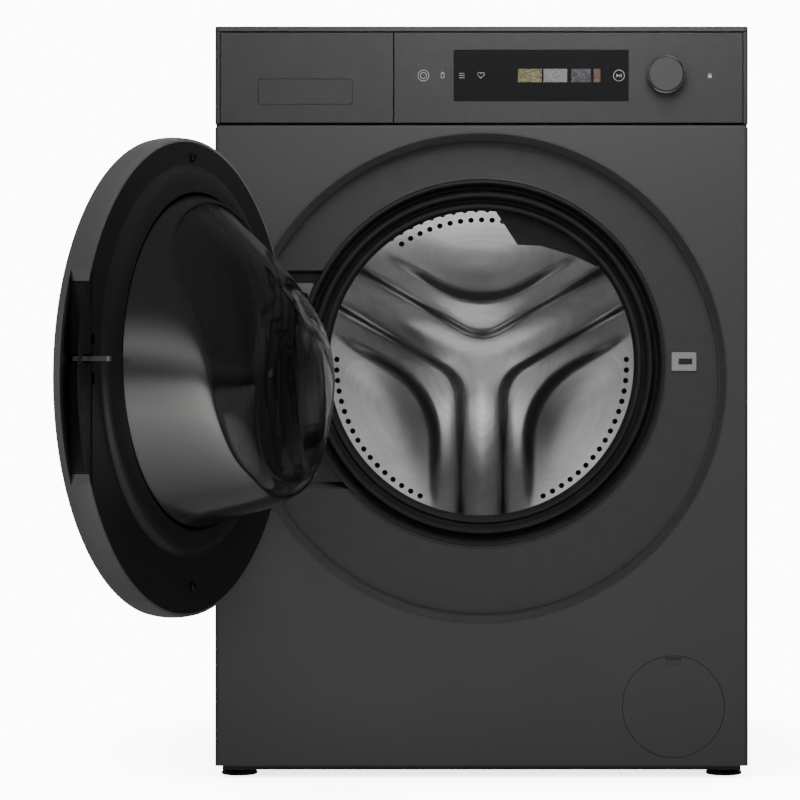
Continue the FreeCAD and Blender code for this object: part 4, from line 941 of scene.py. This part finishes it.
def make_cloth_tiles():
    """Pictures of cloth in the display, one for each kind of load."""
    low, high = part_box("display_window")
    z = (low.z + high.z) / 2
    for name, left, right, dark, light, scale in CLOTH_TILES:
        bm = bmesh.new()
        middle, width = (left + right) / 2, right - left
        outline = rectangle(low.x + middle * MM, z, width * MM, 15.0 * MM)
        flat_shape(bm, outline, low.y - 0.08 * MM, 0.1 * MM)
        tile = from_bmesh(name, bm, 20)
        p = Paint(name, dark, 0.4)
        p.vary_colour(p.noise(1.0, 4.0, scale, 0.75), light, 0.38, 0.66)
        p.bump(p.noise(1.0, 2.0, scale), 0.00005, 0.3)
        tile.data.materials.append(p.material)
        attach(tile, CABINET)


def make_dial():
    """Dial: finely grooved side, bright turned chamfer and a flat face."""
    low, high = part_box("dial_knob")
    (x, _, z), radius = centre_of("dial_knob"), (high.x - low.x) / 2
    face = low.y
    verts = []
    turns = 240
    rows = ((radius - 0.1 * MM, face + 1.5 * MM), (radius, face + 2.2 * MM), (radius, FRONT - 1.9 * MM),
            (radius - 0.5 * MM, FRONT - 1.3 * MM), (radius - 2.5 * MM, FRONT - 1.3 * MM))
    for k in range(turns):
        a = 2 * pi * k / turns
        for n, (r, y) in enumerate(rows):
            r -= 0.22 * MM if k % 4 == 0 and n in (1, 2) else 0.0
            verts.append((x + r * cos(a), y, z + r * sin(a)))
    side = mesh_object("dial_grip", verts, turned_faces(turns, len(rows)), 40)
    wear(side, "graphite_steel")
    profile = [(radius - 2.0 * MM, face + 0.5 * MM), (radius - 1.4 * MM, face),
               (radius - 0.1 * MM, face + 1.3 * MM), (radius - 0.1 * MM, face + 1.8 * MM),
               (radius - 2.0 * MM, face + 1.8 * MM)]
    chamfer = revolved("dial_chamfer", profile, x, z, 160, sharp=30)
    wear(chamfer, "stainless")
    plate = [(0.001 * MM, face + 0.55 * MM), (radius - 6 * MM, face + 0.5 * MM),
             (radius - 3.1 * MM, face + 0.35 * MM), (radius - 2.7 * MM, face + 0.8 * MM),
             (radius - 2.6 * MM, face + 2.4 * MM), (0.001 * MM, face + 2.4 * MM)]
    disc = revolved("dial_face", plate, x, z, 160, sharp=30)
    wear(disc, "graphite_steel")
    spindle = [(0.001 * MM, face + 2 * MM), (3 * MM, face + 2 * MM), (3 * MM, high.y - 0.6 * MM),
               (2.4 * MM, high.y), (0.001 * MM, high.y)]
    axle = revolved("dial_spindle", spindle, x, z, 32, sharp=30)
    wear(axle, "spring_steel")
    for piece in (side, chamfer, disc, axle):
        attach(piece, "dial")
    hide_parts("dial_knob")


# ---- springs, hoses, feet, screws ----
def islands(node):
    """Lowest and highest corner of each separate solid of a CAD node."""
    bm = bmesh.new()
    bm.from_mesh(NODES[node].data)
    bmesh.ops.remove_doubles(bm, verts=bm.verts, dist=0.01 * MM)
    found, seen = [], set()
    for start in bm.verts:
        if start.index in seen:
            continue
        stack, members = [start], []
        seen.add(start.index)
        while stack:
            v = stack.pop()
            members.append(v.co.copy())
            for edge in v.link_edges:
                other = edge.other_vert(v)
                if other.index not in seen:
                    seen.add(other.index)
                    stack.append(other)
        low = Vector([min(c[n] for c in members) for n in range(3)])
        high = Vector([max(c[n] for c in members) for n in range(3)])
        found.append((low, high))
    bm.free()
    return found


def make_springs():
    """Four close-wound tension springs with their hooks."""
    wire = 1.6 * MM
    for n, (low, high) in enumerate(islands("suspension_springs")):
        x, y = (low.x + high.x) / 2, (low.y + high.y) / 2
        coil_low, coil_high = low.z + 18 * MM, high.z - 18 * MM
        coil_r = (high.x - low.x) / 2 - wire
        turns, steps = 24, 18
        line = [Vector((x, y, low.z)), Vector((x, y, coil_low - 6 * MM))]
        for i in range(turns * steps + 1):
            a = 2 * pi * i / steps
            t = i / (turns * steps)
            r = coil_r * min(1.0, 0.25 + 10 * min(t, 1 - t))
            z = coil_low + (coil_high - coil_low) * t
            line.append(Vector((x + r * cos(a), y + r * sin(a), z)))
        line += [Vector((x, y, coil_high + 6 * MM)), Vector((x, y, high.z))]
        spring = sweep("suspension_spring_" + str(n + 1), line, wire, 8)
        wear(spring, "spring_steel")
        if n == 0:
            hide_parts("suspension_springs")
        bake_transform(spring)


def make_hoses():
    """Corrugated hoses between the tub and the parts that stand still."""
    low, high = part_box("fill_hose")
    x, y, r = (low.x + high.x) / 2, (low.y + high.y) / 2, (high.x - low.x) / 2
    steps = 60
    line = [Vector((x, y, high.z - (high.z - low.z) * i / steps)) for i in range(steps + 1)]
    fill = sweep("fill_hose_bellows", line, r - 1.4 * MM, 40, 1.2 * MM, 7)
    wear(fill, "black_rubber")
    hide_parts("fill_hose")
    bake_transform(fill)
    low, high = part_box("sump_hose")
    r = (high.y - low.y) / 2
    middle_y, top_x, level = low.y + r, low.x + r, low.z + r
    bend = 45.0 * MM
    down = [Vector((top_x, middle_y, high.z - (high.z - level - bend) * i / 50)) for i in range(50)]
    turn = []
    for i in range(31):
        a = pi / 2 * i / 30
        turn.append(Vector((top_x + bend * (1 - cos(a)), middle_y, level + bend * (1 - sin(a)))))
    out = [Vector((top_x + bend + (high.x - top_x - bend) * i / 16, middle_y, level)) for i in range(1, 17)]
    sump = sweep("sump_hose_bellows", down + turn + out, r - 1.8 * MM, 40, 1.5 * MM, 16)
    wear(sump, "black_rubber")
    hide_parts("sump_hose")
    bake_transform(sump)


NUT_R = 11.2 * MM


def make_foot(node, body):
    """Levelling foot: ribbed rubber pad, hexagon, and a stud with its thread."""
    low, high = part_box(node)
    x, y, r = (low.x + high.x) / 2, (low.y + high.y) / 2, (high.x - low.x) / 2
    pad = [(0.001, 0.0), (r - 1.6 * MM, 0.0), (r - 0.3 * MM, 0.7 * MM), (r, 1.8 * MM),
           (r - 0.5 * MM, 2.4 * MM), (r - 0.2 * MM, 3.0 * MM), (r - 0.8 * MM, 3.8 * MM),
           (r - 2.4 * MM, 4.8 * MM), (13 * MM, 5.2 * MM), (0.001, 5.2 * MM)]
    verts, turns = [], 72
    for k in range(turns):
        a = 2 * pi * k / turns
        for n, (radius, z) in enumerate(pad):
            radius -= 0.5 * MM if k % 6 == 0 and 2 <= n <= 6 else 0.0
            verts.append((x + radius * cos(a), y + radius * sin(a), z))
    rubber_pad = mesh_object(node + "_pad", verts, turned_faces(turns, len(pad)), 40)
    wear(rubber_pad, "black_rubber")
    bm = bmesh.new()
    hexagon = [(x + NUT_R * cos(radians(60 * i)), y + NUT_R * sin(radians(60 * i)))
               for i in range(6)]
    bottom, top = [[bm.verts.new((u, v, z)) for u, v in hexagon] for z in (4.9 * MM, 7.8 * MM)]
    bm.faces.new(bottom[::-1])
    bm.faces.new(top)
    for i in range(6):
        m = (i + 1) % 6
        bm.faces.new((bottom[i], bottom[m], top[m], top[i]))
    nut = from_bmesh(node + "_hexagon", bm, 20)
    bevel(nut, 0.5 * MM)
    wear(nut, "spring_steel")
    verts = []
    turns, rows, pitch = 24, 150, 1.5 * MM
    bottom, top = 7.0 * MM, high.z
    for i in range(rows + 1):
        z = bottom + (top - bottom) * i / rows
        for k in range(turns):
            phase = (z / pitch - k / turns) % 1.0
            radius = 4.45 * MM + 0.5 * MM * abs(2 * phase - 1)
            a = 2 * pi * k / turns
            verts.append((x + radius * cos(a), y + radius * sin(a), z))
    faces = tube_faces(rows, turns)
    faces.append(tuple(rows * turns + k for k in range(turns)))
    stud = mesh_object(node + "_stud", verts, faces)
    wear(stud, "spring_steel")
    for piece in (rubber_pad, nut, stud):
        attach(piece, body)
    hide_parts(node)


def make_feet():
    for node in NODES:
        if node.startswith("foot_"):
            make_foot(node, NODES[node]["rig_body"])


def make_screw(name, centre, radius, height, way):
    """Screw head facing along way (-1 front, 1 back), its rim rounded and a crossed recess in the middle."""
    bm = bmesh.new()
    spokes = 48
    rings = ((0.15, 0.3), (0.3, 0.32), (0.45, 0.4), (0.6, 0.72), (0.74, 0.95), (0.88, 1.0), (0.97, 0.85),
             (1.0, 0.5), (1.0, 0.0))
    rows = []
    for share, rise in rings:
        row = []
        for k in range(spokes):
            a = 2 * pi * k / spokes
            arm = abs(cos(2 * a)) ** 8 * (1 - smoothstep(0.55, 0.8, share))
            up = height * (rise - 0.5 * arm * rise)
            row.append(bm.verts.new((centre.x + share * radius * cos(a), centre.y + way * up,
                                     centre.z + share * radius * sin(a))))
        rows.append(row)
    hub = bm.verts.new((centre.x, centre.y + way * height * 0.12, centre.z))
    for k in range(spokes):
        m = (k + 1) % spokes
        bm.faces.new((hub, rows[0][m], rows[0][k]))
        for inner, outer in zip(rows, rows[1:]):
            bm.faces.new((inner[k], inner[m], outer[m], outer[k]))
    bm.faces.new(rows[-1])
    return from_bmesh(name, bm, 40)


def make_screws():
    """Screws of the hinge bracket and the back, with real heads in place of the plain ones."""
    for n, (low, high) in enumerate(islands("cabinet_screws")):
        centre = (low + high) / 2
        way = -1 if centre.y < 0 else 1
        centre.y = high.y if way < 0 else low.y
        screw = make_screw("cabinet_screw_" + str(n + 1), centre, (high.x - low.x) / 2, high.y - low.y, way)
        wear(screw, "spring_steel")
        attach(screw, CABINET)
        if n == 0:
            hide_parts("cabinet_screws")


# ---- room ----
# Soft lights as (name, place, what they point at, side length, power).
LIGHTS = (
    ("top_light", (0.0, -1.1, 1.75), (0, -0.25, 0.62), 0.9, 2.8),
    ("brow_light", (0.1, -0.62, 1.15), (0.05, -0.3, 0.84), 0.5, 5.2),
    ("door_light", (-2.0, -1.7, 0.75), (-0.4, -0.5, 0.4), 0.9, 11.0),
    ("low_light", (0.3, -1.9, 0.35), (0.05, -0.3, 0.2), 0.7, 0.9),
    ("back_light", (0.5, 2.2, 1.5), (0, 0.3, 0.4), 1.2, 22.0),
    ("side_light", (2.3, -0.2, 1.3), (0.3, 0, 0.4), 1.2, 7.0),
    ("far_side_light", (-2.6, 0.6, 1.5), (-0.3, 0.1, 0.4), 1.2, 9.0),
)
# Brightness of the surroundings from below (0) to above (1), and seen by the camera.
SKY_LEVELS = ((0.0, 0.1), (0.40, 0.25), (0.48, 0.25), (0.52, 0.15), (0.59, 0.75), (0.68, 0.4), (1.0, 0.5))
SKY_WHITE = 15.0
FLOOR_SIDE = 18.0
CAMERA_PLACE = (0.0, -3.8, 0.446)
CAMERA_LENS = 140.05
CAMERA_SHIFT = (-0.102, -0.02375)


def make_room():
    """Pale floor, white surroundings and soft studio lights."""
    bm = bmesh.new()
    bm.faces.new([bm.verts.new((x, y, cad_low.z)) for x, y in rectangle(0, 0, FLOOR_SIDE, FLOOR_SIDE)])
    floor = from_bmesh("studio_floor", bm)
    p = Paint("studio_floor", (0.5, 0.5, 0.5), 0.7)
    p.vary_colour(p.noise(0.7, 3.0), (0.48, 0.48, 0.48))
    # To the camera the floor is a white glow, dimmed where ambient occlusion finds the machine close: a
    # painted contact shadow.
    glow = p.node("ShaderNodeEmission")
    near = p.node("ShaderNodeAmbientOcclusion", Distance=0.35)
    p.link(p.spread(near.outputs["AO"], 3.0, 12.0, 0.0, 0.9), glow.inputs["Strength"])
    # In reflections the floor shows as a glow instead, brightest well ahead of the machine and fading to the
    # sides: a painted reflection that stands in for a lamp.
    rays = p.node("ShaderNodeLightPath")
    ahead = p.node("ShaderNodeSeparateXYZ")
    p.link(p.place((1, 1, 1)), ahead.inputs[0])
    aside = p.node("ShaderNodeMath")
    aside.operation = "ABSOLUTE"
    p.link(ahead.outputs["X"], aside.inputs[0])
    fade = p.times(p.spread(ahead.outputs["Y"], 1.5, 0.25, -1.3, -0.5),
                   p.spread(aside.outputs[0], 1.0, 0.2, 0.15, 0.9))
    sheen = p.node("ShaderNodeEmission")
    p.link(p.times(fade, p.spread(ahead.outputs["Y"], 0.2, 1.0, -5.0, -2.2)), sheen.inputs["Strength"])
    mirrored = p.between(rays.outputs["Is Glossy Ray"], p.shader, sheen)
    seen = p.between(rays.outputs["Is Camera Ray"], mirrored, glow)
    p.link(seen.outputs[0], p.out.inputs[0])
    floor.data.materials.append(p.material)
    make_sky()
    for name, place, aim, size, power in LIGHTS:
        softbox(name, place, aim, size, power)


def make_sky():
    """White to the camera; what lights the object is dimmer, and brightest in front of it and behind it."""
    world = bpy.data.worlds.new("studio_surround")
    bpy.context.scene.world = world
    world.use_nodes = True
    tree = world.node_tree
    tree.nodes.clear()
    new = tree.nodes.new
    coords = new("ShaderNodeTexCoord")
    split = new("ShaderNodeSeparateXYZ")
    height = new("ShaderNodeValToRGB")
    stops = height.color_ramp
    stops.interpolation = "B_SPLINE"
    while len(stops.elements) < len(SKY_LEVELS):
        stops.elements.new(0.5)
    for stop, (place, level) in zip(stops.elements, SKY_LEVELS):
        stop.position = place
        stop.color = (level, level, level, 1.0)
    up = new("ShaderNodeMapRange")
    up.inputs["From Min"].default_value = -1.0
    depth = new("ShaderNodeMath")
    depth.operation = "ABSOLUTE"
    ahead = new("ShaderNodeMapRange")
    ahead.interpolation_type = "SMOOTHSTEP"
    for key, number in (("From Min", 0.84), ("From Max", 0.985), ("To Min", 0.22), ("To Max", 1.25)):
        ahead.inputs[key].default_value = number
    lit = new("ShaderNodeBackground")
    white = new("ShaderNodeBackground")
    white.inputs["Strength"].default_value = SKY_WHITE
    rays = new("ShaderNodeLightPath")
    seen = new("ShaderNodeMixShader")
    out = new("ShaderNodeOutputWorld")
    for a, b in ((coords.outputs["Generated"], split.inputs[0]), (split.outputs["Z"], up.inputs["Value"]),
                 (up.outputs[0], height.inputs[0]), (height.outputs[0], lit.inputs["Color"]),
                 (split.outputs["Y"], depth.inputs[0]), (depth.outputs[0], ahead.inputs["Value"]),
                 (ahead.outputs[0], lit.inputs["Strength"]), (rays.outputs["Is Camera Ray"], seen.inputs[0]),
                 (lit.outputs[0], seen.inputs[1]), (white.outputs[0], seen.inputs[2]),
                 (seen.outputs[0], out.inputs[0])):
        tree.links.new(a, b)


def softbox(name, place, aim, size, power):
    """Square soft light that doesn't show in the glass and the steel."""
    light = bpy.data.lights.new(name, "AREA")
    light.shape = "SQUARE"
    light.size = size
    light.energy = power
    obj = bpy.data.objects.new(name, light)
    obj.location = place
    obj.visible_glossy = False
    obj.visible_transmission = False
    obj.rotation_euler = (Vector(aim) - Vector(place)).to_track_quat("-Z", "Y").to_euler()
    bpy.context.scene.collection.objects.link(obj)


def make_camera():
    """Level view from straight ahead, far enough for little perspective."""
    lens = bpy.data.cameras.new("camera")
    lens.sensor_width = 36.0
    lens.lens = CAMERA_LENS
    lens.shift_x, lens.shift_y = CAMERA_SHIFT
    lens.dof.use_dof = False
    camera = bpy.data.objects.new("camera", lens)
    camera.location = CAMERA_PLACE
    camera.rotation_euler = (radians(90), 0, 0)
    bpy.context.scene.collection.objects.link(camera)
    bpy.context.scene.camera = camera


make_camera()
make_room()
dress_cad()
make_gasket()
make_drum_back()
make_drum_wall()
make_lifters()
make_bowl()
make_door_panes()
make_icons()
make_cloth_tiles()
make_dial()
make_springs()
make_hoses()
make_feet()
make_screws()
